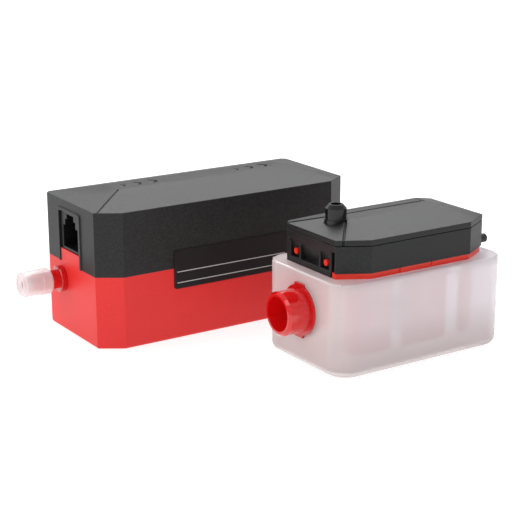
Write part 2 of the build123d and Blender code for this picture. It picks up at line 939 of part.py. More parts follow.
def make_board():
    """Control board, with holes round the lid's bosses and for its own screws."""
    inset = casing_wall + board_gap
    board = plan_prism(casing_plan, inset, (board_bottom, board_top))
    for x, y in lid_screws_at:
        board -= rod_z(lid_boss_radius + board_gap, (board_bottom, board_top), x, y)
    for x, y in board_posts:
        board -= rod_z(board_screw_radius + screw_gap, (board_bottom, board_top), x, y)
    return board


def make_board_screws():
    """Screws that hold the board on its posts."""
    return [
        screw(x, y, board_top, board_screw_length, board_screw_radius - 2 * fixed_gap,
              screw_head_radius, screw_head_height)
        for x, y in board_posts
    ]


def socket_body():
    """Socket shell at the right end: a block on the board with a nose in the window."""
    nose_face = half_length - socket_recess
    shell_face = half_length - casing_wall - socket_gap
    half = window_width / 2 - socket_gap
    nose = window_opening(1, socket_gap, (shell_face - 1, nose_face),
                          (tongue_top + socket_gap, window_top - socket_gap))
    y_span = (window_y - half, window_y + half)
    shell = block((nose_face - socket_depth, shell_face), y_span, (board_top, window_top - socket_gap))
    return nose + shell


def make_signal_socket():
    """Modular socket with a stepped port for the latch of its plug, at the left end."""
    body = socket_body()
    face = half_length - socket_recess
    x_span = (face - port_depth, face)
    low = tongue_top + port_floor
    half = port_width / 2
    body -= block(x_span, (window_y - half, window_y + half), (low, low + port_height))
    low += port_height
    for width, height in port_steps:
        body -= block(x_span, (window_y - width / 2, window_y + width / 2), (low, low + height))
        low += height
    return mirror(body, about=Plane.YZ)


def make_signal_contacts():
    """Row of contact blades on the floor of the signal port."""
    face = -half_length + socket_recess
    floor = tongue_top + port_floor
    first = window_y - contact_pitch * (contact_count - 1) / 2
    blades = []
    for index in range(contact_count):
        y = first + index * contact_pitch
        start = face + contact_start
        root = face + port_depth
        profile = make_face(Polyline(
            (start, floor), (start + contact_foot, floor), (root, floor + contact_rise),
            (root, floor + contact_rise + contact_width), close=True,
        ))
        plane = Plane(origin=(0, y + contact_width / 2, 0), x_dir=(1, 0, 0), z_dir=(0, -1, 0))
        blades.append(plane * extrude(profile, amount=contact_width))
    return blades


def make_power_socket():
    """Keyed socket for the mains and alarm plug, at the right end."""
    body = socket_body()
    face = half_length - socket_recess
    low = tongue_top + port_floor
    x_span = (face - port_depth, face)
    half = port_width / 2
    keyway = port_width / 4
    top = low + port_height
    body -= block(x_span, (window_y - half, window_y + half), (low, top))
    return body - block(x_span, (window_y - keyway, window_y + keyway), (top, top + port_steps[0][1]))


def make_power_pins():
    """Three flat pins in the power socket."""
    back = half_length - socket_recess - port_depth
    middle_z = tongue_top + port_floor + port_height / 2
    pins = []
    for index in range(pin_count):
        y = window_y + (index - (pin_count - 1) / 2) * pin_pitch
        y_span = (y - pin_width / 2, y + pin_width / 2)
        z_span = (middle_z - pin_width, middle_z + pin_width)
        pins.append(block((back, back + pin_length), y_span, z_span))
    return pins


def on_board(size, place):
    """Box that stands on the control board."""
    length, width, height = size
    return Pos(*place, board_top + height / 2) * Box(length, width, height)


def make_transformer():
    """Potted transformer with chamfered top edges."""
    body = on_board(transformer_size, transformer_place)
    return chamfer(body.edges().group_by(Axis.Z)[-1], transformer_chamfer)


def make_relay():
    """Alarm relay, a slim box with rounded corners."""
    body = on_board(relay_size, relay_place)
    return fillet(body.edges().filter_by(Axis.Z), relay_corner)


def make_capacitor():
    """Smoothing capacitor, a can with a crimped neck."""
    neck = capacitor_radius - capacitor_crimp
    crimp_low = capacitor_crimp_height - capacitor_crimp
    crimp_high = capacitor_crimp_height + capacitor_crimp
    shoulder = capacitor_height - capacitor_crimp
    can = [
        (0, 0), (capacitor_radius, 0), (capacitor_radius, crimp_low),
        (neck, capacitor_crimp_height), (capacitor_radius, crimp_high),
        (capacitor_radius, shoulder), (neck, capacitor_height), (0, capacitor_height),
    ]
    profile = Plane.XZ * make_face(Polyline(*can, close=True))
    return Pos(*capacitor_place, board_top) * revolve(profile, Axis.Z)


def make_fuse():
    """Round board fuse."""
    return rod_z(fuse_radius, (board_top, board_top + fuse_height), *fuse_place)


tank_centre = Pos(tank_x, tank_y, 0)


def tub_prism(inset, z_span):
    """Upright prism on the tub's rounded plan, inset from its outside."""
    low, high = z_span
    face = RectangleRounded(tub_length - 2 * inset, tub_width - 2 * inset, max(tub_corner - inset, 1))
    return tank_centre * Pos(0, 0, low) * extrude(face, amount=high - low)


def make_tub():
    """Milky tub with a thick rim, a ledge for the tray and a hole for the inlet."""
    outer = tub_prism(0, (0, tub_height))
    outer = fillet(outer.edges().group_by(Axis.Z)[0], tub_base_round)
    outer = fillet(outer.edges().group_by(Axis.Z)[-1], rim_round)
    hollow = tub_prism(tub_wall, (tub_floor, tub_height - rim_thickness))
    hollow = fillet(hollow.edges().group_by(Axis.Z)[0], tub_base_round - tub_wall)
    tub = outer - hollow
    tub -= tub_prism(rim_width + ledge_width, (tub_floor + tub_base_round, tub_height))
    tub -= tub_prism(rim_width, (tub_height - ledge_depth, tub_height))
    hole = inlet_shank + inlet_shank_gap
    return tub - rod_x(hole, (tub_left - 1, tub_left + tub_wall + 1), tank_y, inlet_z)


def make_inlet_spigot():
    """Red drain spigot with a bevelled mouth, an outer flange and a threaded shank."""
    shank_end = tub_wall + inlet_seal_thickness + inlet_ring_thickness + inlet_shank_spare
    outline = [
        (shank_end, inlet_bore), (-inlet_length, inlet_bore),
        (-inlet_length, inlet_radius - inlet_bevel),
        (-inlet_length + inlet_bevel, inlet_radius), (-inlet_flange, inlet_radius),
        (-inlet_flange, inlet_flange_radius), (0, inlet_flange_radius), (0, inlet_shank),
        (shank_end, inlet_shank),
    ]
    spigot = Pos(tub_left, 0, 0) * turned(outline, tank_y, inlet_z)
    half = inlet_lug_width / 2
    lugs = block((tub_left - inlet_flange, tub_left), (tank_y - half, tank_y + half),
                 (inlet_z - inlet_lug_reach, inlet_z + inlet_lug_reach))
    return spigot + (lugs - rod_x(inlet_radius, (tub_left - inlet_flange, tub_left), tank_y, inlet_z))


def make_inlet_seal():
    """Flat rubber ring between the tub's wall and the inlet's ring nut."""
    start = tub_left + tub_wall
    x_span = (start, start + inlet_seal_thickness)
    return turned(ring_outline(x_span, inlet_shank + fixed_gap, inlet_seal_radius), tank_y, inlet_z)


def make_inlet_ring():
    """Notched ring nut that clamps the inlet spigot from inside."""
    start = tub_left + tub_wall + inlet_seal_thickness
    x_span = (start, start + inlet_ring_thickness)
    ring = turned(ring_outline(x_span, inlet_shank + fixed_gap, inlet_ring_radius), tank_y, inlet_z)
    half = inlet_notch_width / 2
    notch = block(x_span, (-half, half), (inlet_ring_radius - inlet_notch_depth, inlet_ring_radius + 1))
    for index in range(inlet_ring_notches):
        turn = Rot(360 * (index + 0.5) / inlet_ring_notches, 0, 0)
        ring -= Pos(0, tank_y, inlet_z) * turn * notch
    return ring


head_plan = plan_corners(head_length, head_width, (head_cut_x, head_cut_y), (head_cut_x, head_cut_y))
head_ridge_plan = ridge_corners(
    head_length, head_width, head_end_inset, head_side_inset, head_side_inset
)


def head_prism(inset, z_span):
    """Upright prism on the head's eight-sided plan."""
    return tank_centre * plan_prism(head_plan, inset, z_span)


def head_ring(outside, inside, z_span):
    """Ring between two insets of the head's plan."""
    return head_prism(outside, z_span) - head_prism(inside, z_span)


def make_tray():
    """Red tray: plate on the tub's ledge, collars for the head, baffles and the float stem."""
    tray = tub_prism(rim_width + tray_gap, (tray_bottom, tray_top))
    tray += head_ring(collar_inset, collar_inset + collar_width, (tray_top, head_bottom))
    inset = head_recess + head_backing + tray_gap
    tray += head_ring(inset, inset + tongue_wall, (tray_top, head_bottom + tongue_rise))
    peg_z = head_bottom + peg_rise
    for side in (-1, 1):
        peg_span = (head_left + peg_setback, head_left + inset + tongue_wall / 2)
        peg_y = tank_y + side * (head_recess_half - peg_inset)
        tray += rod_x(peg_radius, peg_span, peg_y, peg_z)
    for place in seam_rib_places:
        x_span = (tub_left + place - seam_rib / 2, tub_left + place + seam_rib / 2)
        front = tank_y - head_width / 2
        y_span = (front + seam_rib_setback, front + collar_inset + seam_rib)
        tray += block(x_span, y_span, (tub_height + seam_rib_gap, head_bottom - seam_rib_gap))
    for side in (-1, 1):
        outer = tank_y + side * (tub_width / 2 - baffle_inset)
        y_span = sorted((outer, outer - side * baffle_wall))
        x_span = (tub_left + baffle_left_inset, tub_left + tub_length - baffle_right_inset)
        tray += block(x_span, y_span, (baffle_bottom, tray_bottom))
        for start, width in baffle_gaps:
            gap_x = (tank_x + start, tank_x + start + width)
            tray -= block(gap_x, y_span, (baffle_bottom, tray_bottom))
    tray += rod_z(stem_radius, (stem_bottom, tray_top), stem_place, tank_y)
    tray -= rod_z(stem_bore, (stem_bottom + stem_floor, tray_top), stem_place, tank_y)
    groove_z = (clip_bottom, clip_bottom + clip_thickness)
    groove = tube_z(stem_radius + 1, stem_radius - clip_groove, groove_z, stem_place, tank_y)
    tray -= groove
    tray -= rod_z(dip_tube_radius + tray_gap, (tray_bottom, tray_top), stub_place, tank_y)
    for place in head_screw_places:
        hole = head_screw_radius + screw_gap
        tray -= rod_z(hole, (tray_bottom, tray_top), place, tank_y)
    return tray


def make_head_frame():
    """Black frame of the head, ribbed and recessed at its left end."""
    frame_top = head_joint - head_slit
    frame = head_ring(0, head_wall, (head_bottom, frame_top))
    half = head_recess_half
    backing_x = (head_left + head_wall / 2, head_left + head_recess + head_backing)
    frame += block(backing_x, (tank_y - half, tank_y + half),
                   (head_bottom, head_recess_top + head_backing))
    recess = block((head_left - 1, head_left + head_recess), (tank_y - half, tank_y + half),
                   (head_bottom + head_bar, head_recess_top))
    recess = chamfer(recess.edges().filter_by(Axis.Y).group_by(Axis.Z)[-1].sort_by(Axis.X)[-1:],
                     head_recess_slope)
    frame -= recess
    rib_x = (head_left, head_left + head_recess + head_backing / 2)
    peg_z = head_bottom + peg_rise
    hole_span = (head_left, head_left + head_recess + head_backing)
    for side in (-1, 1):
        for inset in head_rib_insets:
            rib_y = tank_y + side * (half - inset)
            frame += block(rib_x, (rib_y - head_rib / 2, rib_y + head_rib / 2),
                           (head_bottom, head_recess_top))
        peg_y = tank_y + side * (half - peg_inset)
        frame -= rod_x(peg_radius + peg_gap, hole_span, peg_y, peg_z)
    grommet_span = (head_right - head_wall - 1, head_right + 1)
    frame -= rod_x(grommet_neck + fixed_gap, grommet_span, tub_front + grommet_y, grommet_z)
    return frame


def make_head_cover():
    """Black hip-roofed cover of the head, with its grooves and the seat of the stub."""
    outer = hipped_block(head_plan, head_ridge_plan, head_joint, head_edge, head_ridge)
    inner = hipped_block(head_plan, head_ridge_plan, head_joint, head_edge, head_ridge, head_wall)
    cover = tank_centre * (outer - inner)
    lip_outside = head_wall + head_lip_gap
    cover += head_ring(lip_outside, lip_outside + head_lip_wall, (head_joint - head_lip, head_edge))
    envelope = tank_centre * outer
    seat = rod_z(stub_flange_radius + 1, (stub_flange_top, head_ridge), stub_place, tank_y)
    cover += seat & envelope
    for place in head_screw_places:
        boss = rod_z(head_boss_radius, (tray_top, head_ridge - head_wall), place, tank_y)
        pilot = (tray_top, tray_top + head_screw_length)
        cover += boss
        cover -= rod_z(head_screw_radius - fixed_gap, pilot, place, tank_y)
    hole_z = (stub_flange_top - 1, head_ridge + 1)
    cover -= rod_z(stub_collar_radius + stub_hole_gap, hole_z, stub_place, tank_y)
    return cover - tank_centre * head_grooves()


def head_grooves():
    """Grooves of the cover: front left hip, rear left hip, rear edge of the strip, rear right."""
    ridge = [(*corner, head_ridge) for corner in head_ridge_plan]
    edge = [(*corner, head_edge) for corner in head_plan]
    front_foot = along(edge[7], edge[0], head_groove_foot)
    front = v_groove(front_foot, ridge[0], head_groove_half)
    below = (front_foot[0], front_foot[1], head_joint - 1)
    down = v_groove(below, front_foot, head_groove_half, facing=(-head_cut_y, -head_cut_x, 0))
    rear = v_groove(ridge[3], ridge[2], head_groove_half)
    rear_left = v_groove(edge[6], ridge[3], head_groove_half)
    rear_right = v_groove(ridge[2], edge[4], head_groove_half)
    return front + down + rear + rear_left + rear_right


def make_head_screws():
    """Two screws that clamp the tray, the frame and the cover together from below."""
    return [
        screw(place, tank_y, tray_bottom, -head_screw_length, head_screw_radius - 2 * fixed_gap,
              screw_head_radius, screw_head_height)
        for place in head_screw_places
    ]


def make_stub():
    """Glossy suction stub with a bevelled mouth, clamped under the cover by its flange."""
    flange_low = stub_flange_top - stub_flange
    tail_low = flange_low - stub_tail_length
    outline = [
        (stub_tail_bore, tail_low), (stub_tail_radius, tail_low), (stub_tail_radius, flange_low),
        (stub_flange_radius, flange_low), (stub_flange_radius, stub_flange_top),
        (stub_collar_radius, stub_flange_top), (stub_collar_radius, stub_collar_top),
        (stub_radius, stub_collar_top), (stub_radius, stub_shoulder),
        (stub_top_radius, stub_top), (stub_bore, stub_top), (stub_bore, flange_low + 1),
        (stub_tail_bore, flange_low),
    ]
    profile = Plane.XZ * make_face(Polyline(*outline, close=True))
    return Pos(stub_place, tank_y, 0) * revolve(profile, Axis.Z)


def make_dip_tube():
    """Clear tube from the stub down to the strainer."""
    top = stub_flange_top - stub_flange - dip_tube_gap
    return tube_z(dip_tube_radius, dip_tube_bore, (dip_tube_bottom, top), stub_place, tank_y)


def make_strainer():
    """Slotted cup over the foot of the dip tube."""
    cup = rod_z(strainer_radius, (strainer_bottom, strainer_top), stub_place, tank_y)
    hollow_z = (strainer_bottom + strainer_wall, dip_tube_bottom - dip_tube_gap)
    cup -= rod_z(strainer_radius - strainer_wall, hollow_z, stub_place, tank_y)
    cup -= rod_z(dip_tube_radius + fixed_gap, (hollow_z[1], strainer_top), stub_place, tank_y)
    half = strainer_slot_width / 2
    slot_z = (strainer_bottom + strainer_slot_foot, hollow_z[1] - strainer_slot_head)
    slot = block((-strainer_radius - 1, strainer_radius + 1), (-half, half), slot_z)
    for index in range(strainer_slots // 2):
        turn = Rot(0, 0, 360 * index / strainer_slots)
        cup -= Pos(stub_place, tank_y, 0) * turn * slot
    return cup


def make_float():
    """Foam float with a bore for the stem and a pocket for its magnet."""
    z_span = (float_bottom, float_bottom + float_height)
    body = rod_z(float_radius, z_span, stem_place, tank_y)
    body = chamfer(body.edges().filter_by(GeomType.CIRCLE), float_bevel)
    body -= rod_z(stem_radius + float_gap, z_span, stem_place, tank_y)
    pocket = (z_span[1] - magnet_height - fixed_gap, z_span[1])
    return body - rod_z(magnet_radius + fixed_gap, pocket, stem_place, tank_y)


def make_magnet():
    """Ring magnet in the top of the float."""
    top = float_bottom + float_height
    return tube_z(magnet_radius, stem_radius + float_gap, (top - magnet_height, top), stem_place, tank_y)


def make_clip():
    """Open clip in the stem's groove that keeps the float on."""
    z_span = (clip_bottom + clip_play, clip_bottom + clip_thickness - clip_play)
    ring = tube_z(clip_radius, stem_radius - clip_groove + fixed_gap, z_span, stem_place, tank_y)
    mouth = stem_radius - clip_groove
    return ring - block((stem_place, stem_place + clip_radius + 1),
                        (tank_y - mouth / 2, tank_y + mouth / 2), z_span)


def make_sensor_strip():
    """Slim circuit strip that stands in the float stem."""
    half = strip_width / 2
    x_span = (stem_place - half, stem_place + half)
    y_span = (tank_y - strip_thickness / 2, tank_y + strip_thickness / 2)
    return block(x_span, y_span, (stem_bottom + stem_floor + strip_foot_gap, strip_top))


def make_level_sensors():
    """Three level sensors on the strip: stop, run and alarm."""
    length, depth, height = sensor_size
    y = tank_y - (strip_thickness + depth) / 2
    return [Pos(stem_place, y, level) * Box(length, depth, height) for level in sensor_levels]


def make_grommet():
    """Rubber grommet of the sensor lead, with a rounded tip outside the head."""
    inner = head_right - head_wall
    tip = head_right + grommet_reach
    outline = [
        (inner - grommet_flange, 0), (inner - grommet_flange, grommet_radius),
        (inner, grommet_radius), (inner, grommet_neck), (head_right, grommet_neck),
        (head_right, grommet_radius), (tip - grommet_tip, grommet_radius),
        (tip, grommet_radius - grommet_tip), (tip, 0),
    ]
    return turned(outline, tub_front + grommet_y, grommet_z)


def build_parts():
    """Every node of the set by name. A list is a group of alike pieces in one node."""
    parts = {
        "base_housing": make_base(),
        "lid": make_lid(),
        "rating_label": make_label(),
        "lid_screws": make_lid_screws(),
        "signal_socket": make_signal_socket(),
        "signal_contacts": make_signal_contacts(),
        "power_socket": make_power_socket(),
        "power_pins": make_power_pins(),
        "control_board": make_board(),
        "board_screws": make_board_screws(),
        "transformer": make_transformer(),
        "alarm_relay": make_relay(),
        "smoothing_capacitor": make_capacitor(),
        "board_fuse": make_fuse(),
        "inlet_cap": make_inlet_cap(),
        "pump_barrel": make_barrel(),
        "outlet_head": make_outlet_head(),
        "mount_rings": make_mount_rings(),
        "yoke_frame": make_yoke(),
        "pole_sleeves": make_sleeves(),
        "coil_bobbin": make_bobbin(),
        "coil_winding": make_winding(),
        "armature_piston": make_armature(),
        "piston_seal": module(ring_outline((seal_start, seal_end), piston_bore, seal_radius)),
        "seal_washer": module(ring_outline((washer_start, seal_start),
                                           piston_radius + cylinder_gap, barrel_bore - fixed_gap)),
        "power_spring": coil_spring(shift_span(cap_floor, armature_start),
                                    power_spring_radius, power_spring_wire, power_spring_turns),
        "buffer_spring": coil_spring(shift_span(piston_start, washer_start),
                                     buffer_spring_radius, buffer_spring_wire, buffer_spring_turns),
        "suction_valve": make_suction_valve(),
        "delivery_valve": make_delivery_valve(),
        "delivery_spring": coil_spring(
            shift_span(seat_end + fixed_gap + delivery_valve_thickness, chamber_end),
            delivery_spring_radius, delivery_spring_wire, delivery_spring_turns),
        "tank_tub": make_tub(),
        "inlet_spigot": make_inlet_spigot(),
        "inlet_seal": make_inlet_seal(),
        "inlet_ring_nut": make_inlet_ring(),
        "sensor_tray": make_tray(),
        "head_frame": make_head_frame(),
        "head_cover": make_head_cover(),
        "head_screws": make_head_screws(),
        "suction_stub": make_stub(),
        "dip_tube": make_dip_tube(),
        "strainer": make_strainer(),
        "float": make_float(),
        "float_magnet": make_magnet(),
        "float_clip": make_clip(),
        "sensor_strip": make_sensor_strip(),
        "level_sensors": make_level_sensors(),
        "lead_grommet": make_grommet(),
    }
    for name, side in (("suction", -1), ("discharge", 1)):
        parts[f"{name}_fitting"] = make_fitting(side)
        parts[f"{name}_locknut"] = make_locknut(side)
        parts[f"{name}_ferrule"] = make_ferrule(side)
        parts[f"{name}_nut"] = make_tube_nut(side)
        parts[f"{name}_hose"] = make_hose(side)
    return parts


os.makedirs("parts", exist_ok=True)
for node, shape in build_parts().items():
    pieces = shape if isinstance(shape, list) else [shape]
    solids = [solid for piece in pieces for solid in piece.solids()]
    export_step(solids[0] if len(solids) == 1 else Compound(children=solids), f"parts/{node}.step")
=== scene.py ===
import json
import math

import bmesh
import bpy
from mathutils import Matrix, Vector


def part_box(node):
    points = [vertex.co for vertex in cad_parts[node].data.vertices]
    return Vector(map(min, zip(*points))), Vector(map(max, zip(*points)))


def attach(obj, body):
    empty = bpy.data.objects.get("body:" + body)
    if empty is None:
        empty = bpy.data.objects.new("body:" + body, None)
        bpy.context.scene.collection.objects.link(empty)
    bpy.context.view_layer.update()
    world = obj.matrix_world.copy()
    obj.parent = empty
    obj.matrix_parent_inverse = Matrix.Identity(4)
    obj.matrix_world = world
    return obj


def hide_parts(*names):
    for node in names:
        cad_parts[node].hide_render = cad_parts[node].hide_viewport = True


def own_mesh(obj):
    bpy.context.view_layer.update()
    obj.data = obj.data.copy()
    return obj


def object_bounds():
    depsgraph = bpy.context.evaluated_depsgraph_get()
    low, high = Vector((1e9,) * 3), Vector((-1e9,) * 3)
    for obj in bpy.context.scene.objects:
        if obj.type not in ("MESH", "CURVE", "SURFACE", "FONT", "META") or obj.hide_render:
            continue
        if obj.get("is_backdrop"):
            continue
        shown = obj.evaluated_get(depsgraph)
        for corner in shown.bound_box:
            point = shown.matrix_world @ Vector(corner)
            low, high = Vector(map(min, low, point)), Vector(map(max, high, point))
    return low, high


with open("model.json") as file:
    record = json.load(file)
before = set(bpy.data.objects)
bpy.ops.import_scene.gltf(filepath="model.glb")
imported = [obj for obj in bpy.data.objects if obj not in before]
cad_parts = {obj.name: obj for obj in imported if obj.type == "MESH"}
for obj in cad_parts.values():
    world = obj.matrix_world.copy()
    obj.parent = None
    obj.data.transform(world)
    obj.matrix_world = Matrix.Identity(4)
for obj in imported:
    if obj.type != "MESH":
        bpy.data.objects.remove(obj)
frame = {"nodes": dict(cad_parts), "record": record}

# %% [markdown]
# A condensate pump, dressed for the camera
#
# The set has two units that stand side by side. One is a piston pump in a red and black casing
# with a hip roof. The other is a milky tank whose black head measures the water with a float.
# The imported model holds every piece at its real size, so most pieces only get edges, a finish and
# light here. The head, its tray and the mouth of the tub are carved anew, from places that the
# frame gives.
# The corners of the whole model are kept here, to compare with the dressed model at the end.

packed_box = [list(corner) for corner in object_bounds()]
nodes = frame["nodes"]
slots = {row["node"]: row["material_slot"] for row in frame["record"]["subparts"]}
bodies_of = {
    node: body
    for body, members in frame["record"]["behaviour"]["bodies"].items()
    for node in members
}

# %% [markdown]
# The camera comes first, because every later choice is judged through it. Its place was found by
# fitting the straight edges of both units, so it is a real place in the room and not a guess.
# A long lens from half a metre away keeps the verticals almost parallel, as in a catalogue.


# %% Camera
def new_object(name, data):
    """Object in the scene, at the origin and unturned."""
    made = bpy.data.objects.new(name, data)
    bpy.context.scene.collection.objects.link(made)
    return made


camera_turn, camera_dip = math.radians(33.39), math.radians(16.38)
camera_data = bpy.data.cameras.new("catalogue_camera")
camera_data.sensor_width = 36.0
camera_data.lens = 96.6
camera = new_object("catalogue_camera", camera_data)
camera.location = (-0.2657, -0.4457, 0.1723)
camera.rotation_euler = (math.pi / 2 - camera_dip, 0, -camera_turn)
bpy.context.scene.camera = camera
print("camera lens", camera_data.lens)

# %% [markdown]
# A white sweep is what a catalogue uses: the floor and the room are so bright that they print as
# plain white. Dark plastic then shows its form by what it mirrors. The slopes of a hip roof mirror
# a soft box above and behind, and the walls mirror the dimmer room in front, so the slopes come
# out grey and the walls nearly black. A soft box at the left lights the ends of both units.
# Each box is given as a radiance, because that is what a surface mirrors, and the power in watts
# follows from the area.


# %% Soft boxes
def soft_box(name, place, width, height, radiance):
    """Rectangular light that faces the middle of the set."""
    data = bpy.data.lights.new(name, "AREA")
    data.shape = "RECTANGLE"
    data.size = width
    data.size_y = height
    data.energy = radiance * width * height * math.pi
    light = new_object(name, data)
    light.location = place
    light.rotation_euler = (scene_middle - Vector(place)).to_track_quat("-Z", "Y").to_euler()


scene_middle = Vector((0.01, -0.03, 0.03))
soft_boxes = (
    ("sky_box", (0.25, 0.55, 0.85), 1.3, 0.9, 3.4),
    ("left_box", (-0.95, 0.05, 0.45), 0.8, 0.8, 1.75),
    ("front_fill", (0.1, -1.2, 0.7), 0.9, 0.6, 0.8),
)
for row in soft_boxes:
    soft_box(*row)
print(len(soft_boxes), "soft boxes")

# %% [markdown]
# The room is an even white world, and the floor is a wide sheet of paper. Paper alone would print
# grey under the set, so it glows as well, and its shadow becomes as faint as a catalogue has it.
# The floor is stage: it is marked as backdrop, and the box of the model leaves it out.

# %% Room and floor
white, paper_grey = (1.0, 1.0, 1.0, 1.0), (0.42, 0.42, 0.42, 1.0)
room_brightness, paper_glow = 0.62, 0.76
floor_half = 6.0

world = bpy.data.worlds.new("room")
world.use_nodes = True
world.node_tree.nodes["Background"].inputs["Color"].default_value = white
world.node_tree.nodes["Background"].inputs["Strength"].default_value = room_brightness
bpy.context.scene.world = world
bpy.context.scene.view_settings.view_transform = "Standard"

floor_corners = [(-floor_half, -floor_half, 0), (floor_half, -floor_half, 0),
                 (floor_half, floor_half, 0), (-floor_half, floor_half, 0)]
floor_mesh = bpy.data.meshes.new("floor")
floor_mesh.from_pydata(floor_corners, [], [(0, 1, 2, 3)])
floor = new_object("floor", floor_mesh)
paper = bpy.data.materials.new("paper_sweep")
paper.use_nodes = True
paper_shader = paper.node_tree.nodes["Principled BSDF"]
paper_shader.inputs["Base Color"].default_value = paper_grey
paper_shader.inputs["Roughness"].default_value = 0.9
paper_shader.inputs["Specular IOR Level"].default_value = 0.1
paper_shader.inputs["Emission Color"].default_value = white
paper_shader.inputs["Emission Strength"].default_value = paper_glow
floor_mesh.materials.append(paper)
floor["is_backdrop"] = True
print("white room with a floor of", 2 * floor_half, "metres")

# %% [markdown]
# Every finish below is a small tree of nodes round one Principled shader, and a few helpers keep
# those trees readable. The first makes a node of any kind and fills its sockets, with a value or
# with a link. The others give what nearly every finish needs: a pattern of a size in metres, a
# value moved to another range, a mixed colour and a relief.


# %% Node helpers
def add_node(tree, kind, settings=None, **sockets):
    """New node with its settings and its sockets filled by value or by link."""
    made = tree.nodes.new(kind)
    for key, value in (settings or {}).items():
        setattr(made, key, value)
    for key, value in sockets.items():
        socket = made.inputs[key.replace("_", " ")]
        if isinstance(value, bpy.types.NodeSocket):
            tree.links.new(value, socket)
        else:
            socket.default_value = value
    return made


def blank_material(name):
    """Material with its tree, its Principled shader and the object's own coordinates."""
    material = bpy.data.materials.new(name)
    material.use_nodes = True
    tree = material.node_tree
    place = add_node(tree, "ShaderNodeTexCoord").outputs["Object"]
    return material, tree, tree.nodes["Principled BSDF"], place


def spread(tree, value, low, high, source=(0.0, 1.0)):
    """Value moved from its source range to low and high."""
    ranged = add_node(tree, "ShaderNodeMapRange", Value=value, From_Min=source[0],
                      From_Max=source[1], To_Min=low, To_Max=high)
    return ranged.outputs["Result"]


def noise(tree, place, size, detail=2.0):
    """Noise whose features have a size in metres."""
    made = add_node(tree, "ShaderNodeTexNoise", Vector=place, Scale=1.0 / size, Detail=detail)
    return made.outputs["Fac"]


def times(tree, first, second):
    """Product of two values."""
    made = add_node(tree, "ShaderNodeMath", {"operation": "MULTIPLY"})
    tree.links.new(first, made.inputs[0])
    tree.links.new(second, made.inputs[1])
    return made.outputs["Value"]


def scaled(colour, share):
    """Colour whose parts are multiplied by a share."""
    return tuple(part * share for part in colour)


def mix_colour(tree, share, first, second):
    """Colour between two colours."""
    made = add_node(tree, "ShaderNodeMix", {"data_type": "RGBA"})
    tree.links.new(share, made.inputs["Factor"])
    for socket, value in ((made.inputs[6], first), (made.inputs[7], second)):
        if isinstance(value, bpy.types.NodeSocket):
            tree.links.new(value, socket)
        else:
            socket.default_value = (*value, 1.0)
    return made.outputs[2]


def emboss(tree, shader, height, strength, depth, **sockets):
    """Relief of a pattern on the shader's normal."""
    bump = add_node(tree, "ShaderNodeBump", Height=height, Strength=strength, Distance=depth,
                    **sockets)
    tree.links.new(bump.outputs["Normal"], shader.inputs["Normal"])


print("node helpers ready")

# %% [markdown]
# The edges of a moulding get a painted highlight, a lighter colour laid on them. The Bevel node gives
# the normal of a rounded edge, and where that departs from the true normal there is an edge. The
# product of the two normals therefore tells how near a point is to one, without any drawn mask.


# %% Edges of a moulding
bevel_samples = 6


def rounded_normal(tree, radius):
    """Normal of the piece with its edges rounded."""
    bevel = add_node(tree, "ShaderNodeBevel", {"samples": bevel_samples}, Radius=radius)
    return bevel.outputs["Normal"]


def edge_mask(tree, radius):
    """One on the edges of a piece and nought on its faces."""
    likeness = add_node(tree, "ShaderNodeVectorMath", {"operation": "DOT_PRODUCT"})
    flat = add_node(tree, "ShaderNodeNewGeometry")
    tree.links.new(rounded_normal(tree, radius), likeness.inputs[0])
    tree.links.new(flat.outputs["Normal"], likeness.inputs[1])
    return spread(tree, likeness.outputs["Value"], 0.0, 1.0, source=(0.995, 0.90))


print("edge mask with", bevel_samples, "samples")

# %% [markdown]
# Both casings are moulded in tools whose steel was spark eroded, which leaves a fine grain: tiny
# rounded pits a few tenths of a millimetre across. A noise of that size goes to the bump, and a
# slower one moves the colour a little, because no moulding cools evenly. The same function serves
# the black and the red plastic, so that both belong to one product.


# %% Moulded plastic
cooling_size, highlight_breakup_size = 0.035, 0.006
edge_reach, mould_round = 0.0005, 0.00035


def moulded_plastic(name, colour, speck_and_highlight_colour, roughness, grain, depth, mirror):
    """Moulded plastic with a spark-eroded grain and rounded edges that carry a painted highlight."""
    material, tree, shader, place = blank_material(name)
    cooling = noise(tree, place, cooling_size, 3.0)
    pits = noise(tree, place, grain, 3.0)
    body = mix_colour(tree, cooling, scaled(colour, 0.93), scaled(colour, 1.07))
    speckled = mix_colour(tree, spread(tree, pits, 0.0, 0.45, (0.4, 0.7)), body, speck_and_highlight_colour)
    # Painted highlight: near the edges the colour turns to the lighter speck colour, in patches of a
    # slow noise.
    highlight_breakup = spread(tree, noise(tree, place, highlight_breakup_size), 0.25, 0.9, (0.3, 0.7))
    painted_edge_highlight = times(tree, edge_mask(tree, edge_reach), highlight_breakup)
    tree.links.new(mix_colour(tree, painted_edge_highlight, speckled, speck_and_highlight_colour), shader.inputs["Base Color"])
    tree.links.new(spread(tree, pits, roughness - 0.07, roughness + 0.07, (0.3, 0.7)),
                   shader.inputs["Roughness"])
    emboss(tree, shader, pits, 0.6, depth, Normal=rounded_normal(tree, mould_round))
    shader.inputs["IOR"].default_value = 1.5
    shader.inputs["Specular IOR Level"].default_value = mirror
    return material


charcoal = moulded_plastic(
    "charcoal_plastic", (0.0065, 0.0068, 0.007), (0.035, 0.036, 0.037),
    roughness=0.46, grain=0.00048, depth=0.00009, mirror=0.32)
signal_red = moulded_plastic(
    "signal_red_plastic", (0.70, 0.018, 0.016), (0.80, 0.05, 0.045),
    roughness=0.46, grain=0.00035, depth=0.000025, mirror=0.36)
socket_black = moulded_plastic(
    "socket_black_plastic", (0.004, 0.004, 0.0042), (0.015, 0.015, 0.016),
    roughness=0.4, grain=0.0003, depth=0.00001, mirror=0.3)
print("moulded plastics:", charcoal.name, signal_red.name, socket_black.name)
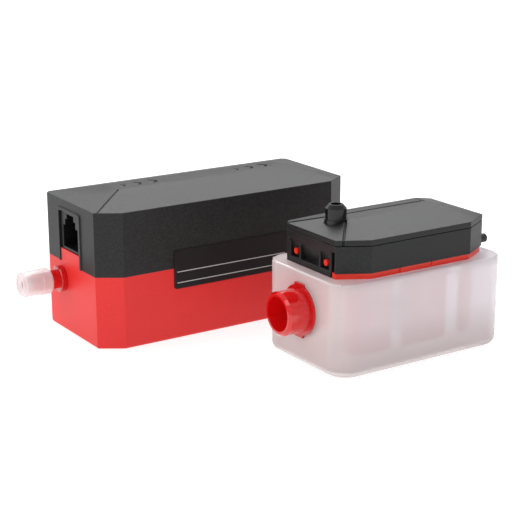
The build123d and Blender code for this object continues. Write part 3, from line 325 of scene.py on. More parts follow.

# %% [markdown]
# Glossy plastic has no grain, but it is never a mirror: the tool's polish leaves faint waves and
# fine scratches. The waves are a slow bump, and the scratches are a noise squeezed along one axis,
# which moves the roughness. Clear and milky pieces pass a part of the light, and a faint painted
# glow, an emission of their own colour, stands in for light that enters such a wall and comes out
# elsewhere.


# %% Glossy and clear plastic
wave_depth = 0.00001
scratch_size, scratch_squeeze = 0.003, 14.0


def clear_plastic(name, colour, roughness, passing, wave=0.004, scratch=0.08, painted_glow=0.0):
    """Polished plastic that lets part of the light through and has a faint painted glow."""
    material, tree, shader, place = blank_material(name)
    waves = noise(tree, place, wave, 2.0)
    squeezed = add_node(tree, "ShaderNodeMapping", Vector=place,
                        Scale=(1.0, 1.0, scratch_squeeze))
    scratches = noise(tree, squeezed.outputs["Vector"], scratch_size, 4.0)
    tree.links.new(mix_colour(tree, waves, scaled(colour, 0.95), colour),
                   shader.inputs["Base Color"])
    tree.links.new(spread(tree, scratches, roughness, roughness + scratch, (0.4, 0.8)),
                   shader.inputs["Roughness"])
    emboss(tree, shader, waves, 0.5, wave_depth)
    shader.inputs["Transmission Weight"].default_value = passing
    shader.inputs["IOR"].default_value = 1.46
    # Painted glow: an emission of the plastic's own colour.
    shader.inputs["Emission Color"].default_value = (*colour, 1.0)
    shader.inputs["Emission Strength"].default_value = painted_glow
    return material


gloss_black = clear_plastic("gloss_black_plastic", (0.006, 0.006, 0.0065), 0.16, 0.0)
clear_red = clear_plastic("clear_red_plastic", (0.86, 0.007, 0.009), 0.06, 0.45, painted_glow=0.03)
clear_red.node_tree.nodes["Principled BSDF"].inputs["Coat Weight"].default_value = 0.6
tray_red = clear_plastic("tray_red_plastic", (0.87, 0.03, 0.010), 0.28, 0.15,
                         scratch=0.02, painted_glow=0.03)
milky_nut = clear_plastic("milky_nut_plastic", (1.0, 0.91, 0.92), 0.28, 0.66,
                          scratch=0.03, painted_glow=0.05)
milky_tub = clear_plastic("milky_tub_plastic", (0.97, 0.925, 0.965), 0.2, 0.56,
                          wave=0.012, scratch=0.015, painted_glow=0.02)
clear_tube = clear_plastic("clear_tube_plastic", (0.93, 0.95, 0.95), 0.12, 0.85)
print("clear plastics:", clear_red.name, tray_red.name, milky_nut.name, clear_tube.name)

# %% [markdown]
# A painted warm light, as if thrown back from the red parts at its left end, turns the milky tub
# from a warm to a cool white along the tub, and painted shade makes its foot a shade darker. Both
# are laid over the colour that the polished plastic already has, by the X and the Z of the object's
# own coordinates, so they stay with the tub when it moves.

# %% Milky tub
painted_warm_light_span, foot_span = (-0.001, 0.012), (0.0, 0.018)
painted_warm_light, painted_foot_shade_grey = (0.93, 0.80, 0.78), (0.66, 0.57, 0.56)
tub_tree = milky_tub.node_tree
tub_colour = tub_tree.nodes["Principled BSDF"].inputs["Base Color"]
milk = tub_colour.links[0].from_socket
tub_place = add_node(tub_tree, "ShaderNodeTexCoord").outputs["Object"]
tub_axes = add_node(tub_tree, "ShaderNodeSeparateXYZ", Vector=tub_place).outputs
# Painted warm light: the left end is mixed towards a warm white.
painted_warm_light_share = spread(tub_tree, tub_axes["X"], 0.8, 0.0, painted_warm_light_span)
with_painted_warm_light = mix_colour(tub_tree, painted_warm_light_share, milk, painted_warm_light)
# Painted shade: the foot is mixed towards a grey.
foot_shade = spread(tub_tree, tub_axes["Z"], 0.95, 0.0, foot_span)
tub_tree.links.new(mix_colour(tub_tree, foot_shade, with_painted_warm_light, painted_foot_shade_grey), tub_colour)
print("tub colour from", len(tub_tree.nodes), "nodes")

# %% [markdown]
# The pieces inside are seen when the head is lifted, or through the socket windows. They get
# simple but true finishes: zinc on steel is brushed along its length, rubber is dull, foam is full
# of cells, and a circuit board is a green lacquer over a weave of glass.


# %% Finishes of the inner pieces
brush_stretch, brush_size, brush_depth = 0.08, 0.00035, 0.00001


def metal(name, colour, roughness):
    """Plated metal with fine scratches along X."""
    material, tree, shader, place = blank_material(name)
    stretched = add_node(tree, "ShaderNodeMapping", Vector=place, Scale=(brush_stretch, 1.0, 1.0))
    brushed = noise(tree, stretched.outputs["Vector"], brush_size, 3.0)
    tree.links.new(mix_colour(tree, brushed, scaled(colour, 0.8), colour),
                   shader.inputs["Base Color"])
    tree.links.new(spread(tree, brushed, roughness - 0.08, roughness + 0.12),
                   shader.inputs["Roughness"])
    emboss(tree, shader, brushed, 0.3, brush_depth)
    shader.inputs["Metallic"].default_value = 1.0
    return material


def dull(name, colour, roughness, cell, depth):
    """Rubber, foam or plain plastic with a cellular skin."""
    material, tree, shader, place = blank_material(name)
    cells = add_node(tree, "ShaderNodeTexVoronoi", Vector=place, Scale=1.0 / cell)
    skin = cells.outputs["Distance"]
    tree.links.new(mix_colour(tree, skin, scaled(colour, 0.8), colour),
                   shader.inputs["Base Color"])
    tree.links.new(spread(tree, skin, roughness - 0.06, roughness + 0.06),
                   shader.inputs["Roughness"])
    emboss(tree, shader, skin, 0.5, depth)
    return material


def laminate(name, colour, weave):
    """Lacquered board: a square weave of glass under green lacquer."""
    material, tree, shader, place = blank_material(name)
    threads = [
        add_node(tree, "ShaderNodeTexWave", {"bands_direction": axis}, Vector=place,
                 Scale=0.5 / weave).outputs["Fac"]
        for axis in "XY"
    ]
    both = times(tree, *threads)
    tree.links.new(mix_colour(tree, both, scaled(colour, 0.7), colour),
                   shader.inputs["Base Color"])
    tree.links.new(spread(tree, both, 0.25, 0.4), shader.inputs["Roughness"])
    return material


print("makers of the inner finishes ready")

# %% [markdown]
# The record names a material slot for each node. One table says which finish each slot gets, so a
# finish is changed in one place. The tray shares a slot with clearer red pieces, but it is seen as
# an even red strip, so it gets a duller plastic of its own.

# %% Finishes on the nodes
finishes = {
    "red_plastic": signal_red,
    "black_plastic": charcoal,
    "black_gloss": gloss_black,
    "label_plate": dull("label_film", (0.007, 0.007, 0.0075), 0.34, 0.0006, 0.000004),
    "clear_red": clear_red,
    "milky_plastic": milky_tub,
    "milky_nut": milky_nut,
    "clear_tube": clear_tube,
    "white_plastic": dull("white_plastic", (0.75, 0.74, 0.70), 0.45, 0.0008, 0.00001),
    "socket_plastic": socket_black,
    "component_plastic": dull("component_plastic", (0.03, 0.035, 0.05), 0.4, 0.0005, 0.00001),
    "float_plastic": dull("float_foam", (0.72, 0.70, 0.68), 0.8, 0.0007, 0.00015),
    "rubber": dull("rubber", (0.012, 0.012, 0.012), 0.6, 0.0005, 0.00003),
    "steel": metal("zinc_plated_steel", (0.62, 0.62, 0.65), 0.3),
    "contact_metal": metal("gold_plated_contact", (0.83, 0.60, 0.25), 0.22),
    "copper": metal("enamelled_copper", (0.60, 0.22, 0.08), 0.25),
    "magnet": metal("sintered_magnet", (0.10, 0.10, 0.11), 0.5),
    "board": laminate("green_laminate", (0.02, 0.13, 0.05), 0.0006),
}
label_shader = finishes["label_plate"].node_tree.nodes["Principled BSDF"]
label_shader.inputs["Specular IOR Level"].default_value = 0.3
for node, piece in nodes.items():
    piece.data.materials.clear()
    piece.data.materials.append(finishes[slots[node]])
nodes["sensor_tray"].data.materials[0] = tray_red
print(len(finishes), "finishes on", len(nodes), "nodes")

# %% [markdown]
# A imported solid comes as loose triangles, and its flat walls run smoothly into their rounds. Shaded
# as it is, a large flat wall would take part of its light from the round beside it. So each visible
# moulding gets a finished copy: it is welded, edges that turn by more than twenty-five degrees are
# marked sharp, and a Weighted Normal modifier lets the larger face decide the shading. The tiny
# round on the sharp edges is left to the shader, because it is hardly wider than a pixel here.


# %% Welded copies of the mouldings
weld_distance = 0.000002
sharp_angle = math.radians(25)


def mark_edges(shape):
    """Sharp edges where the faces turn away from each other, and smooth faces."""
    for edge in shape.edges:
        turn = edge.calc_face_angle(math.pi) if edge.is_manifold else math.pi
        edge.smooth = turn < sharp_angle
    for face in shape.faces:
        face.smooth = True


def object_from(name, shape, marked=False):
    """Object made of a shape, with its faces turned outwards and its edges marked if asked."""
    bmesh.ops.recalc_face_normals(shape, faces=shape.faces)
    if marked:
        mark_edges(shape)
    mesh = bpy.data.meshes.new(name)
    shape.to_mesh(mesh)
    shape.free()
    return new_object(name, mesh)


def dress(piece, node):
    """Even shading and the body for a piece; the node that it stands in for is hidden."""
    evening = piece.modifiers.new("evening", "WEIGHTED_NORMAL")
    evening.keep_sharp = True
    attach(piece, bodies_of[node])
    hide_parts(node)
    return piece


def welded_copy(node, suffix="moulding"):
    """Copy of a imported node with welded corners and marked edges."""
    source = nodes[node].data
    shape = bmesh.new()
    shape.from_mesh(source)
    bmesh.ops.remove_doubles(shape, verts=shape.verts, dist=weld_distance)
    piece = object_from(f"{node}_{suffix}", shape, marked=True)
    piece.data.materials.append(source.materials[0])
    return piece


plain_mouldings = [
    "base_housing", "lid", "suction_fitting", "discharge_fitting", "suction_nut",
    "discharge_nut", "suction_stub", "signal_socket", "power_socket", "rating_label",
    "lead_grommet",
]
for node in plain_mouldings:
    dress(welded_copy(node), node)
print(len(plain_mouldings), "welded mouldings")

# %% [markdown]
# The head, its tray and the mouth of the tub share one outline: a box whose front corners are cut
# long and whose rear corners are cut short, as a moulder does to key a head to its tub. The pieces
# that follow are carved from bodies on that outline. Moving all its sides inwards by one inset
# gives the inside of a wall, and that is worked out from the sides themselves.


# %% Outline of the head
def mm(*values):
    """Millimetres as metres."""
    return tuple(value / 1000 for value in values)


def middle(corners):
    """Middle of a box that is given by two corners."""
    return tuple((a + b) / 2 for a, b in zip(*corners))


frame_low, frame_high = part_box("head_frame")
tub_low, tub_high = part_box("tank_tub")
head_rear_step = 0.002675
left, right = frame_low[0], frame_high[0]
front, rear = frame_low[1], frame_high[1] - head_rear_step
middle_y = middle((frame_low, frame_high))[1]
front_cut = mm(10.7, 6.1)
rear_cut = mm(2.3, 2.5)
head_outline = [
    (left + front_cut[0], front), (right - front_cut[0], front), (right, front + front_cut[1]),
    (right, rear - rear_cut[1]), (right - rear_cut[0], rear), (left + rear_cut[0], rear),
    (left, rear - rear_cut[1]), (left, front + front_cut[1]),
]
rear_cuts_end = 0.004


def shrink(corners, inset):
    """Corners of a convex outline whose sides have all moved inwards."""
    lines = []
    for (x0, y0), (x1, y1) in zip(corners, corners[1:] + corners[:1]):
        length = math.hypot(x1 - x0, y1 - y0)
        across = ((y0 - y1) / length, (x1 - x0) / length)
        lines.append((*across, across[0] * x0 + across[1] * y0 + inset))
    moved = []
    for (a, b, c), (d, e, f) in zip(lines[-1:] + lines[:-1], lines):
        share = a * e - b * d
        moved.append(((c * e - b * f) / share, (a * f - c * d) / share))
    return moved


def head_plan(inset):
    """The head's outline moved inwards; deep inside, the short rear cuts have run out."""
    if inset < rear_cuts_end:
        return shrink(head_outline, inset)
    square = head_outline[:3] + [(right, rear), (left, rear)] + head_outline[7:]
    return shrink(square, inset)


for corner in head_outline:
    print("head corner in millimetres", *(round(value * 1000, 2) for value in corner))

# %% [markdown]
# Carving needs closed bodies, and a few makers give them. A bar closes the space between two
# outlines, a prism is an upright bar, a box is a prism on a rectangle, a rod is a prism on a
# circle, and a hull is the smallest convex body round some points.


# %% Makers of closed bodies
rod_sides = 48
flat_angle = 0.01


def bar_between(first, second, name="bar"):
    """Closed body between two outlines that have as many corners."""
    count = len(first)
    walls = [(i, (i + 1) % count, count + (i + 1) % count, count + i) for i in range(count)]
    shape = bmesh.new()
    corners = [shape.verts.new(point) for point in first + second]
    for face in walls + [tuple(range(count)), tuple(range(count, 2 * count))]:
        shape.faces.new([corners[index] for index in face])
    return object_from(name, shape)


def prism(corners, low, high):
    """Upright prism on an outline."""
    return bar_between([(*corner, low) for corner in corners],
                       [(*corner, high) for corner in corners], "prism")


def box(x_span, y_span, z_span):
    """Prism on a rectangle."""
    (x0, x1), (y0, y1) = x_span, y_span
    return prism([(x0, y0), (x1, y0), (x1, y1), (x0, y1)], *z_span)


def rod(centre, radius, low, high, axis="Z"):
    """Cylinder along Z, or along X with its centre given as (y, z)."""
    turns = [2 * math.pi * index / rod_sides for index in range(rod_sides)]
    circle = [(centre[0] + radius * math.cos(t), centre[1] + radius * math.sin(t)) for t in turns]
    made = prism(circle, low, high)
    if axis == "X":
        for corner in made.data.vertices:
            corner.co = (corner.co.z, corner.co.x, corner.co.y)
    return made


def hull(points):
    """Smallest convex body round some points."""
    shape = bmesh.new()
    for point in points:
        shape.verts.new(point)
    bmesh.ops.convex_hull(shape, input=shape.verts)
    bmesh.ops.dissolve_limit(shape, angle_limit=flat_angle, verts=shape.verts, edges=shape.edges)
    return object_from("hull", shape)


print("makers ready, with rods of", rod_sides, "sides")

# %% [markdown]
# A carve is a Boolean modifier whose result is made plain mesh at once. It uses Blender's exact
# solver, because many faces here lie in one plane. A ring is a prism less a smaller one that
# reaches past it at both ends. A carved body is cleaned before it is dressed: what the solver has
# left double is welded, and faces with many corners become triangles.


# %% Carve, join and finish
past = 0.001


def carve(piece, tool, operation="DIFFERENCE"):
    """Piece less the tool, joined with it, or what both share; the tool is used up."""
    change = piece.modifiers.new("carve", "BOOLEAN")
    change.operation = operation
    change.solver = "EXACT"
    change.object = tool
    graph = bpy.context.evaluated_depsgraph_get()
    mesh = bpy.data.meshes.new_from_object(piece.evaluated_get(graph))
    piece.modifiers.remove(change)
    piece.data = mesh
    bpy.data.objects.remove(tool)
    return piece


def join(piece, tool):
    """Piece and tool as one body."""
    return carve(piece, tool, "UNION")


def head_ring(outside, inside, low, high):
    """Ring between two insets of the head's outline."""
    ring = prism(head_plan(outside), low, high)
    return carve(ring, prism(head_plan(inside), low - past, high + past))


def finished(piece, node):
    """Carved body with a clean mesh, its finish and its round edges."""
    shape = bmesh.new()
    shape.from_mesh(piece.data)
    bpy.data.objects.remove(piece)
    bmesh.ops.remove_doubles(shape, verts=shape.verts, dist=weld_distance)
    bmesh.ops.dissolve_degenerate(shape, edges=shape.edges, dist=weld_distance)
    bmesh.ops.triangulate(shape, faces=[face for face in shape.faces if len(face.verts) > 4])
    made = object_from(f"{node}_moulding", shape, marked=True)
    made.data.materials.append(nodes[node].data.materials[0])
    print(made.name, len(made.data.polygons), "faces")
    return dress(made, node)


print("carving tools reach", past * 1000, "mm past the faces that they cut")

# %% [markdown]
# The left end of the head's frame is the busiest place of the tank unit. It is a recess that runs
# out upwards like a wedge, parted by four ribs, with a bar at its foot that reaches down over the
# tray's collar, and a slot beside the front corner. Two red pegs of the tray stand in holes between
# the ribs. The tray and the frame need the same places, so they are worked out once, before either
# is made.

# %% Measures of the ribbed end
frame_wall = 0.0016
frame_bottom, frame_top = frame_low[2], frame_high[2]
end_front, end_rear = front + front_cut[1], rear - rear_cut[1]
fit_gap, overlap = 0.0002, 0.0002

slot_start, slot_end, slot_height, slot_depth = 0.0004, 0.0023, 0.0073, 0.002
slot_span = (end_front + slot_start, end_front + slot_end)
recess_depth, backing, recess_height, wedge_rise = 0.0024, 0.0013, 0.0059, 0.0016
recess_from_slot, recess_from_rear = 0.00035, 0.00146
recess_span = (slot_span[1] + recess_from_slot, end_rear - recess_from_rear)
recess_y = sum(recess_span) / 2
recess_half = (recess_span[1] - recess_span[0]) / 2
recess_top = frame_bottom + recess_height

bar_overlap = 0.0003
bar_low, bar_top = tub_high[2] + fit_gap, frame_bottom + bar_overlap
outer_rib, inner_rib, rib_half, rib_drop = 0.00045, 0.00642, 0.00045, 0.0004
peg_from_side, peg_height, peg_radius, peg_room = 0.00343, 0.0025, 0.0011, 0.0001
peg_y_offset, peg_z = recess_half - peg_from_side, frame_bottom + peg_height
print("ribbed end", round((end_rear - end_front) * 1000, 2), "mm wide")

# %% [markdown]
# The frame is a ring on the head's outline. The end gets a backing, then the bar, then the wedge
# and the slot are cut, and the ribs are added last, so that the wedge doesn't cut them away.
# At the right end a hole lets the sensor's lead out through its grommet.

# %% Head frame
frame_body = head_ring(0.0, frame_wall, frame_bottom, frame_top)
backing_x = (left + frame_wall / 2, left + recess_depth + backing)
backing_z = (frame_bottom, recess_top + 2 * backing)
join(frame_body, box(backing_x, (end_front, end_rear), backing_z))
bar_y = (recess_span[0], end_rear)
join(frame_body, box((left, left + recess_depth), bar_y, (bar_low, bar_top)))

wedge_top = recess_top + wedge_rise
wedge = [(left - past, bar_top), (left + recess_depth, bar_top), (left, wedge_top),
         (left - past, wedge_top)]
wedge_body = prism(wedge, *recess_span)
for corner in wedge_body.data.vertices:
    corner.co = (corner.co.x, corner.co.z, corner.co.y)
wedge_body.data.flip_normals()
carve(frame_body, wedge_body)
slot_x = (left - past, left + slot_depth)
carve(frame_body, box(slot_x, slot_span, (bar_low, frame_bottom + slot_height)))

rib_x = (left, left + recess_depth + backing / 2)
peg_hole_depth = 0.005
for side in (-1, 1):
    for inset in (outer_rib, inner_rib):
        rib_y = recess_y + side * (recess_half - inset)
        rib_span = (rib_y - rib_half, rib_y + rib_half)
        join(frame_body, box(rib_x, rib_span, (frame_bottom, recess_top - rib_drop)))
    peg_hole = rod((recess_y + side * peg_y_offset, peg_z), peg_radius + peg_room,
                   left, left + peg_hole_depth, axis="X")
    carve(frame_body, peg_hole)

grommet_bore, grommet_depth = 0.0016, 0.0026
grommet_at = middle(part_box("lead_grommet"))[1:]
carve(frame_body, rod(grommet_at, grommet_bore, right - grommet_depth, right + past, axis="X"))
finished(frame_body, "head_frame")

# %% [markdown]
# The cover is a hipped roof: its straight skirt, its slopes and its flat strip are the smallest
# convex body round three outlines, which is exactly what a hip roof is. Fine grooves run along its
# hips and along the strip. Each is cut by a bar with a diamond section, which leaves a clean V.
# The first diagonal of the section lies level and square to the bar. For an upright bar that leaves
# the direction open, so it is given: square to the cut front corner of the head.


# %% Hip roof and grooves
cover_gap, skirt_height = 0.0003, 0.0019
ridge_z, joint_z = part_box("head_cover")[1][2], frame_top + cover_gap
eave_z = joint_z + skirt_height
ridge_left, ridge_right, ridge_front, ridge_rear = 0.0116, 0.0126, 0.0162, 0.0087
groove_beyond, upright_limit, beside_upright = 1.3, 0.1, Vector((0.5, 0.87, 0))
ridge_outline = [
    (left + ridge_left, front + ridge_front), (right - ridge_right, front + ridge_front),
    (right - ridge_right, rear - ridge_rear), (left + ridge_left, rear - ridge_rear),
]


def hip_roof(inset, low):
    """Convex body of the cover, moved inwards from its outside."""
    eave, ridge = head_plan(inset), shrink(ridge_outline, inset / 3)
    points = [(*corner, low) for corner in eave]
    points += [(*corner, eave_z - inset / 3) for corner in eave]
    return hull(points + [(*corner, ridge_z - inset) for corner in ridge])


def groove_bar(start, end, half):
    """Bar with a diamond section that cuts a groove along a line and a little past its ends."""
    start, end = Vector(start), Vector(end)
    along = (end - start).normalized()
    start, end = start - along * groove_beyond * half, end + along * groove_beyond * half
    across = along.cross(Vector((0, 0, 1)))
    across = across.normalized() if across.length > upright_limit else beside_upright
    upward = across.cross(along).normalized()
    offsets = [across * half, upward * half, -across * half, -upward * half]
    return bar_between([start + offset for offset in offsets],
                       [end + offset for offset in offsets], "groove")


print("roof rises", round((ridge_z - eave_z) * 1000, 2), "mm over its eave")

# %% [markdown]
# The grooves are cut while the roof is still solid, and each is a trace wider than the one before,
# because the solver loses a body when bars of one size meet at a corner. Then the roof is hollowed
# by the same body made smaller.

# %% Head cover
groove_from_rear, groove_short, hip_foot_share = 0.013525, 0.0006, 0.22
first_groove_half, groove_half_step = 0.00055, 0.000011
groove_y = rear - groove_from_rear
ridge_corners = [(*corner, ridge_z) for corner in ridge_outline]
eave_corners = [(*corner, eave_z) for corner in head_outline]
groove_left = (ridge_corners[3][0], groove_y, ridge_z)
groove_right = (ridge_corners[2][0] - groove_short, groove_y, ridge_z)
hip_foot = Vector(eave_corners[7]).lerp(Vector(eave_corners[0]), hip_foot_share)
hip_drop = (hip_foot.x, hip_foot.y, joint_z - past)
groove_lines = (
    (hip_foot, ridge_corners[0]), (hip_drop, hip_foot), (groove_left, groove_right),
    (eave_corners[6], groove_left), (groove_right, ridge_corners[2]),
)
cover_body = hip_roof(0.0, joint_z)
for index, (start, end) in enumerate(groove_lines):
    carve(cover_body, groove_bar(start, end, first_groove_half + groove_half_step * index))
carve(cover_body, hip_roof(frame_wall, joint_z - past))
print("hollow roof with", len(groove_lines), "grooves")

# %% [markdown]
# Inside, the cover has a seat for the stub, a lip that drops into the frame, and two bosses for
# the head's screws. The seat is what a rod shares with a slightly smaller roof, so it follows the
# slope from within and never comes through it.

# %% Seat, lip and bosses of the cover
seat_radius, seat_foot, seat_depth = 0.0062, 0.0007, 0.0008
stub_bore, stub_bore_foot = 0.00416, 0.002
lip_gap, lip_wall, lip_drop = 0.0001, 0.0011, 0.0014
boss_radius, boss_bore, boss_bore_depth, boss_under_ridge = 0.0026, 0.00124, 0.009, 0.0015
boss_from_left, boss_from_right = 0.02255, 0.00855
tray_under_rim = 0.0001
tray_top = tub_high[2] - tray_under_rim

stub_at = (middle(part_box("suction_stub"))[0], middle_y)
seat = rod(stub_at, seat_radius, eave_z - seat_foot, ridge_z)
join(cover_body, carve(seat, hip_roof(seat_depth, joint_z), "INTERSECT"))
lip = head_ring(frame_wall + lip_gap, frame_wall + lip_wall, joint_z - lip_drop, eave_z)
join(cover_body, lip)
for boss_x in (left + boss_from_left, right - boss_from_right):
    boss_at = (boss_x, middle_y)
    boss = carve(rod(boss_at, boss_radius, tray_top, ridge_z - boss_under_ridge),
                 rod(boss_at, boss_bore, tray_top - past, tray_top + boss_bore_depth))
    join(cover_body, boss)
carve(cover_body, rod(stub_at, stub_bore, eave_z - stub_bore_foot, ridge_z + past))
finished(cover_body, "head_cover")

# %% [markdown]
# The red tray closes the tub. Its plate and its collar follow the head's outline, so that the milky
# rim comes right up to the head. A tongue stands inside the frame, the two pegs reach out from it
# through the ribbed end, and two small ribs part the collar's front. The middle of the plate, with
# the float's stem and the holes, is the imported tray's own, cut out and joined to the new rim.

# %% Tray
collar_inset, collar_inside, tongue_wall = 0.0005, 0.0047, 0.0012
plate_inside, plate_overlap, plate_depth = 0.0068, 0.0066, 0.0018
bar_room_rear, peg_inset, middle_rise = 0.003, 0.0004, 0.00005
seams, seam_half, seam_reach = (0.028, 0.042), 0.0003, (0.0001, 0.0011)
plate_low = tub_high[2] - plate_depth
tray_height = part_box("sensor_tray")[1][2]
tray_body = head_ring(collar_inset, plate_inside, plate_low, tray_top)
join(tray_body, head_ring(collar_inset, collar_inside, tray_top - overlap, frame_bottom))

bar_room_x = (left - past, left + recess_depth + fit_gap)
bar_room_y = (recess_span[0] - fit_gap, end_rear + bar_room_rear)
carve(tray_body, box(bar_room_x, bar_room_y, (tray_top, frame_bottom + past)))
tongue = recess_depth + backing + fit_gap
join(tray_body, head_ring(tongue, tongue + tongue_wall, tray_top - overlap, tray_height))

for side in (-1, 1):
    peg = rod((recess_y + side * peg_y_offset, peg_z), peg_radius, left + peg_inset,
              left + tongue + tongue_wall / 2, axis="X")
    join(tray_body, peg)
seam_y = (front + seam_reach[0], front + seam_reach[1])
seam_z = (tub_high[2] + fit_gap, frame_bottom - fit_gap)
for seam in seams:
    seam_x = tub_low[0] + seam
    join(tray_body, box((seam_x - seam_half, seam_x + seam_half), seam_y, seam_z))
tray_middle = carve(welded_copy("sensor_tray", "middle"),
                    prism(head_plan(plate_overlap), 0.0, tray_top + middle_rise), "INTERSECT")
join(tray_body, tray_middle)
print("tray before its baffles,", len(tray_body.data.polygons), "faces")

# %% [markdown]
# Two walls hang from the tray as baffles, and they show through the tub as pale panels with
# brighter gaps between them. They are one ring on the head's outline, less its two ends and less a
# pair of gaps, whose places are measured from the middle of the head.

# %% Baffles
baffle_outside, baffle_inside, baffle_foot, open_end = 0.00195, 0.00335, 0.006, 0.005
baffle_gaps = ((-0.011725, -0.006025), (0.012675, 0.019175))
middle_x = (left + right) / 2
cuts = [(left - past, left + open_end), (right - open_end, right + past)]
cuts += [(middle_x + start, middle_x + end) for start, end in baffle_gaps]
baffles = head_ring(baffle_outside, baffle_inside, baffle_foot, plate_low + overlap)
for x_span in cuts:
    carve(baffles, box(x_span, (front - past, rear + past), (0.0, plate_low)))
join(tray_body, baffles)
finished(tray_body, "sensor_tray")

# %% [markdown]
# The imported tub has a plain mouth. Its top is filled with a slab first, and then the mouth is cut
# out again on the head's outline: a narrower hole all the way through, and a wider step above it,
# in which the tray's plate rests.

# %% Tub
rim_inset, rim_foot = 0.0024, tub_high[2] - 0.003
mouth_inset, step_inset, mouth_overlap = 0.0015, 0.0003, 0.0005
rim_slab = box((tub_low[0] + rim_inset, tub_high[0] - rim_inset),
               (tub_low[1] + rim_inset, tub_high[1] - rim_inset), (rim_foot, tub_high[2]))
tub_body = join(welded_copy("tank_tub", "shell"), rim_slab)
carve(tub_body, prism(head_plan(mouth_inset), rim_foot - mouth_overlap, tub_high[2] + past))
carve(tub_body, prism(head_plan(step_inset), plate_low, tub_high[2] + past))
finished(tub_body, "tank_tub")

# %% [markdown]
# The drain inlet keys into the tub's wall with two short lugs on its flange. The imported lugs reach
# a little too far, so the copy loses their ends. Its round edges and its bore stay as they are.

# %% Drain inlet
lug_reach = 0.0097
spigot_low, spigot_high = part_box("inlet_spigot")
spigot_z = middle((spigot_low, spigot_high))[2]
lug_spans = ((spigot_low[2] - past, spigot_z - lug_reach),
             (spigot_z + lug_reach, spigot_high[2] + past))
spigot_body = welded_copy("inlet_spigot", "shell")
for z_span in lug_spans:
    carve(spigot_body, box((spigot_low[0] - past, spigot_high[0] + past),
                           (spigot_low[1] - past, spigot_high[1] + past), z_span))
finished(spigot_body, "inlet_spigot")

# %% [markdown]
# Three things on this object follow a rule, and Geometry Nodes make them: the turns of the winding,
# the coil springs of the pump, and the printed rules of the label place. Each tree takes its sizes
# as named inputs, and what it makes becomes plain mesh. A few helpers hold what the trees share.


# %% Helpers of the rule trees
def rule_tree(name, sizes):
    """Empty geometry tree with named number inputs, as (tree, input sockets, output node)."""
    tree = bpy.data.node_groups.new(name, "GeometryNodeTree")
    for size in sizes:
        kind = "NodeSocketInt" if size == "count" else "NodeSocketFloat"
        tree.interface.new_socket(name=size, in_out="INPUT", socket_type=kind)
    tree.interface.new_socket(name="Geometry", in_out="OUTPUT", socket_type="NodeSocketGeometry")
    return tree, tree.nodes.new("NodeGroupInput").outputs, tree.nodes.new("NodeGroupOutput")


def finish_tree(tree, geometry, output, material):
    """Realised instances with their material at the end of the tree."""
    real = add_node(tree, "GeometryNodeRealizeInstances", Geometry=geometry)
    paint = add_node(tree, "GeometryNodeSetMaterial", Geometry=real.outputs["Geometry"],
                     Material=material)
    tree.links.new(paint.outputs["Geometry"], output.inputs["Geometry"])


def vector_of(tree, **parts):
    """Vector with some of its parts linked."""
    return add_node(tree, "ShaderNodeCombineXYZ", **parts).outputs["Vector"]


def line_of_points(tree, given, start, step):
    """Points from a start, as many as the tree's count says, each a step from the last."""
    line = add_node(tree, "GeometryNodeMeshLine", Count=given["count"], Start_Location=start,
                    Offset=step)
    return line.outputs["Mesh"]


def swept_wire(tree, path, radius, sides, **sockets):
    """Round wire along a path."""
    section = add_node(tree, "GeometryNodeCurvePrimitiveCircle", Resolution=sides, Radius=radius)
    sweep = add_node(tree, "GeometryNodeCurveToMesh", Curve=path.outputs["Curve"],
                     Profile_Curve=section.outputs["Curve"], **sockets)
    return sweep.outputs["Mesh"]


def grow(tree, name, sizes, body, rounded=True):
    """Plain mesh that a tree makes with the sizes given, on its body."""
    holder = new_object(name, bpy.data.meshes.new(name))
    modifier = holder.modifiers.new("rule", "NODES")
    modifier.node_group = tree
    for item in tree.interface.items_tree:
        if item.in_out == "INPUT":
            modifier[item.identifier] = sizes[item.name]
    graph = bpy.context.evaluated_depsgraph_get()
    mesh = bpy.data.meshes.new_from_object(holder.evaluated_get(graph))
    holder.modifiers.remove(modifier)
    holder.data = mesh
    for polygon in mesh.polygons:
        polygon.use_smooth = rounded
    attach(holder, body)
    print(name, len(mesh.polygons), "faces")
    return holder


along_x = (0.0, math.pi / 2, 0.0)
print("tree helpers ready")

# %% [markdown]
# The wire of the winding is half a millimetre thick. Only its outer layer can be seen, so one ring
# for each turn is enough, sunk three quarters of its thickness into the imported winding.

# %% Turns of the winding
winding_low, winding_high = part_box("coil_winding")
wire, ring_corners, wire_corners = 0.0005, 48, 8
turns_tree, given, output = rule_tree(
    "winding_turns", ["count", "pitch", "start", "radius", "wire", "centre y", "centre z"])
circle = add_node(turns_tree, "GeometryNodeCurvePrimitiveCircle", Resolution=ring_corners,
                  Radius=given["radius"])
turn = swept_wire(turns_tree, circle, given["wire"], wire_corners)
first_turn = vector_of(turns_tree, X=given["start"], Y=given["centre y"], Z=given["centre z"])
points = line_of_points(turns_tree, given, first_turn, vector_of(turns_tree, X=given["pitch"]))
place = add_node(turns_tree, "GeometryNodeInstanceOnPoints", Points=points, Instance=turn,
                 Rotation=along_x)
finish_tree(turns_tree, place.outputs["Instances"], output, finishes["copper"])
winding_length = winding_high[0] - winding_low[0]
turn_count = int(winding_length / wire)
winding_centre = middle((winding_low, winding_high))
grow(turns_tree, "winding_turns", {
    "count": turn_count, "pitch": winding_length / turn_count,
    "start": winding_low[0] + winding_length / turn_count / 2,
    "radius": (winding_high[2] - winding_low[2]) / 2 - wire / 4, "wire": wire / 2,
    "centre y": winding_centre[1], "centre z": winding_centre[2],
}, bodies_of["coil_winding"])

# %% [markdown]
# A coil spring is the plainest shape that follows a rule: a round wire swept along a spiral. One
# tree makes all three springs of the pump. The power spring pushes the piston home and the delivery
# spring shuts its valve, and each of these two gets a mesh of its own.

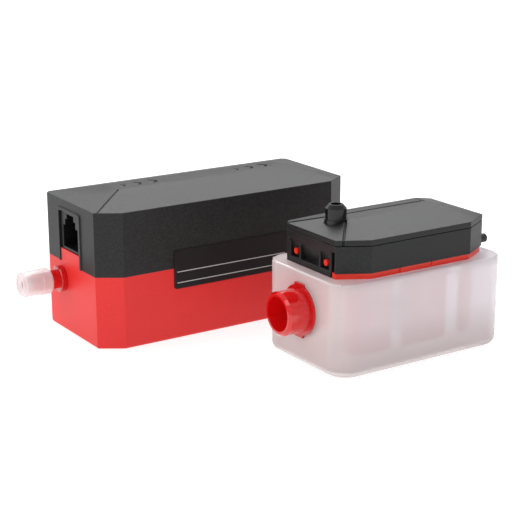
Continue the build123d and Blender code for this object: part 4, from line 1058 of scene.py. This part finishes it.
# %% Coil springs of the pump
coil_corners, coil_wire_corners = 28, 10
spring_tree, given, output = rule_tree(
    "coil_spring", ["turns", "radius", "length", "wire", "start", "centre y", "centre z"])
spiral = add_node(spring_tree, "GeometryNodeCurveSpiral", Resolution=coil_corners,
                  Rotations=given["turns"], Start_Radius=given["radius"],
                  End_Radius=given["radius"], Height=given["length"])
coil = swept_wire(spring_tree, spiral, given["wire"], coil_wire_corners, Fill_Caps=True)
spring_foot = vector_of(spring_tree, X=given["start"], Y=given["centre y"], Z=given["centre z"])
turned = add_node(spring_tree, "GeometryNodeTransform", Geometry=coil, Rotation=along_x,
                  Translation=spring_foot)
finish_tree(spring_tree, turned.outputs["Geometry"], output, finishes["steel"])


def make_spring(node, wire, turns, joint=None):
    """Spring in the place of a packed one; given a joint, it gets a mesh of its own."""
    low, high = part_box(node)
    centre_y, centre_z = middle((low, high))[1:]
    length = high[0] - low[0]
    spring = grow(spring_tree, f"{node}_coil", {
        "turns": turns, "radius": (high[2] - low[2] - wire) / 2, "length": length - wire,
        "wire": wire / 2, "start": low[0] + wire / 2, "centre y": centre_y, "centre z": centre_z,
    }, bodies_of[node])
    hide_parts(node)
    if joint:
        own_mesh(spring)


make_spring("power_spring", 0.0006, 5.0, "piston_stroke")
make_spring("buffer_spring", 0.0005, 3.0)
make_spring("delivery_spring", 0.00035, 3.0, "delivery_valve_lift")

# %% [markdown]
# The label place keeps two thin pale rules, which divide it into rows. They are printed, so they
# are a hair proud of the plate and no more.

# %% Rules of the label place
rule_length, rule_thickness, rule_height, rule_pitch = 0.0470, 0.0003, 0.02135, 0.0041
rule_margin, rule_sink = 0.0012, 0.00003
label_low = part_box("rating_label")[0]
ink = dull("pale_ink", (0.55, 0.55, 0.53), 0.5, 0.0004, 0.000002)
rules_tree, given, output = rule_tree(
    "label_rules", ["count", "pitch", "left", "front", "height", "length", "thickness"])
bar_size = vector_of(rules_tree, X=given["length"], Y=given["thickness"], Z=given["thickness"])
bar = add_node(rules_tree, "GeometryNodeMeshCube", Size=bar_size)
lower_rule = vector_of(rules_tree, X=given["left"], Y=given["front"], Z=given["height"])
points = line_of_points(rules_tree, given, lower_rule, vector_of(rules_tree, Z=given["pitch"]))
place = add_node(rules_tree, "GeometryNodeInstanceOnPoints", Points=points,
                 Instance=bar.outputs["Mesh"])
finish_tree(rules_tree, place.outputs["Instances"], output, ink)
grow(rules_tree, "label_rules", {
    "count": 2, "pitch": rule_pitch, "left": label_low[0] + rule_margin + rule_length / 2,
    "front": label_low[1] + rule_thickness / 2 - rule_sink, "height": rule_height,
    "length": rule_length, "thickness": rule_thickness,
}, bodies_of["rating_label"], rounded=False)

# %% [markdown]
# The last cell compares the dressed model with the imported one, to show whether a finish has made
# the object grow.

# %% Compare the two boxes and finish
dressed_box = [list(corner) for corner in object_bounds()]
growth = max(
    abs(a - b) for low, high in zip(packed_box, dressed_box) for a, b in zip(low, high)
)
print("largest change of a corner in millimetres:", round(growth * 1000, 3))
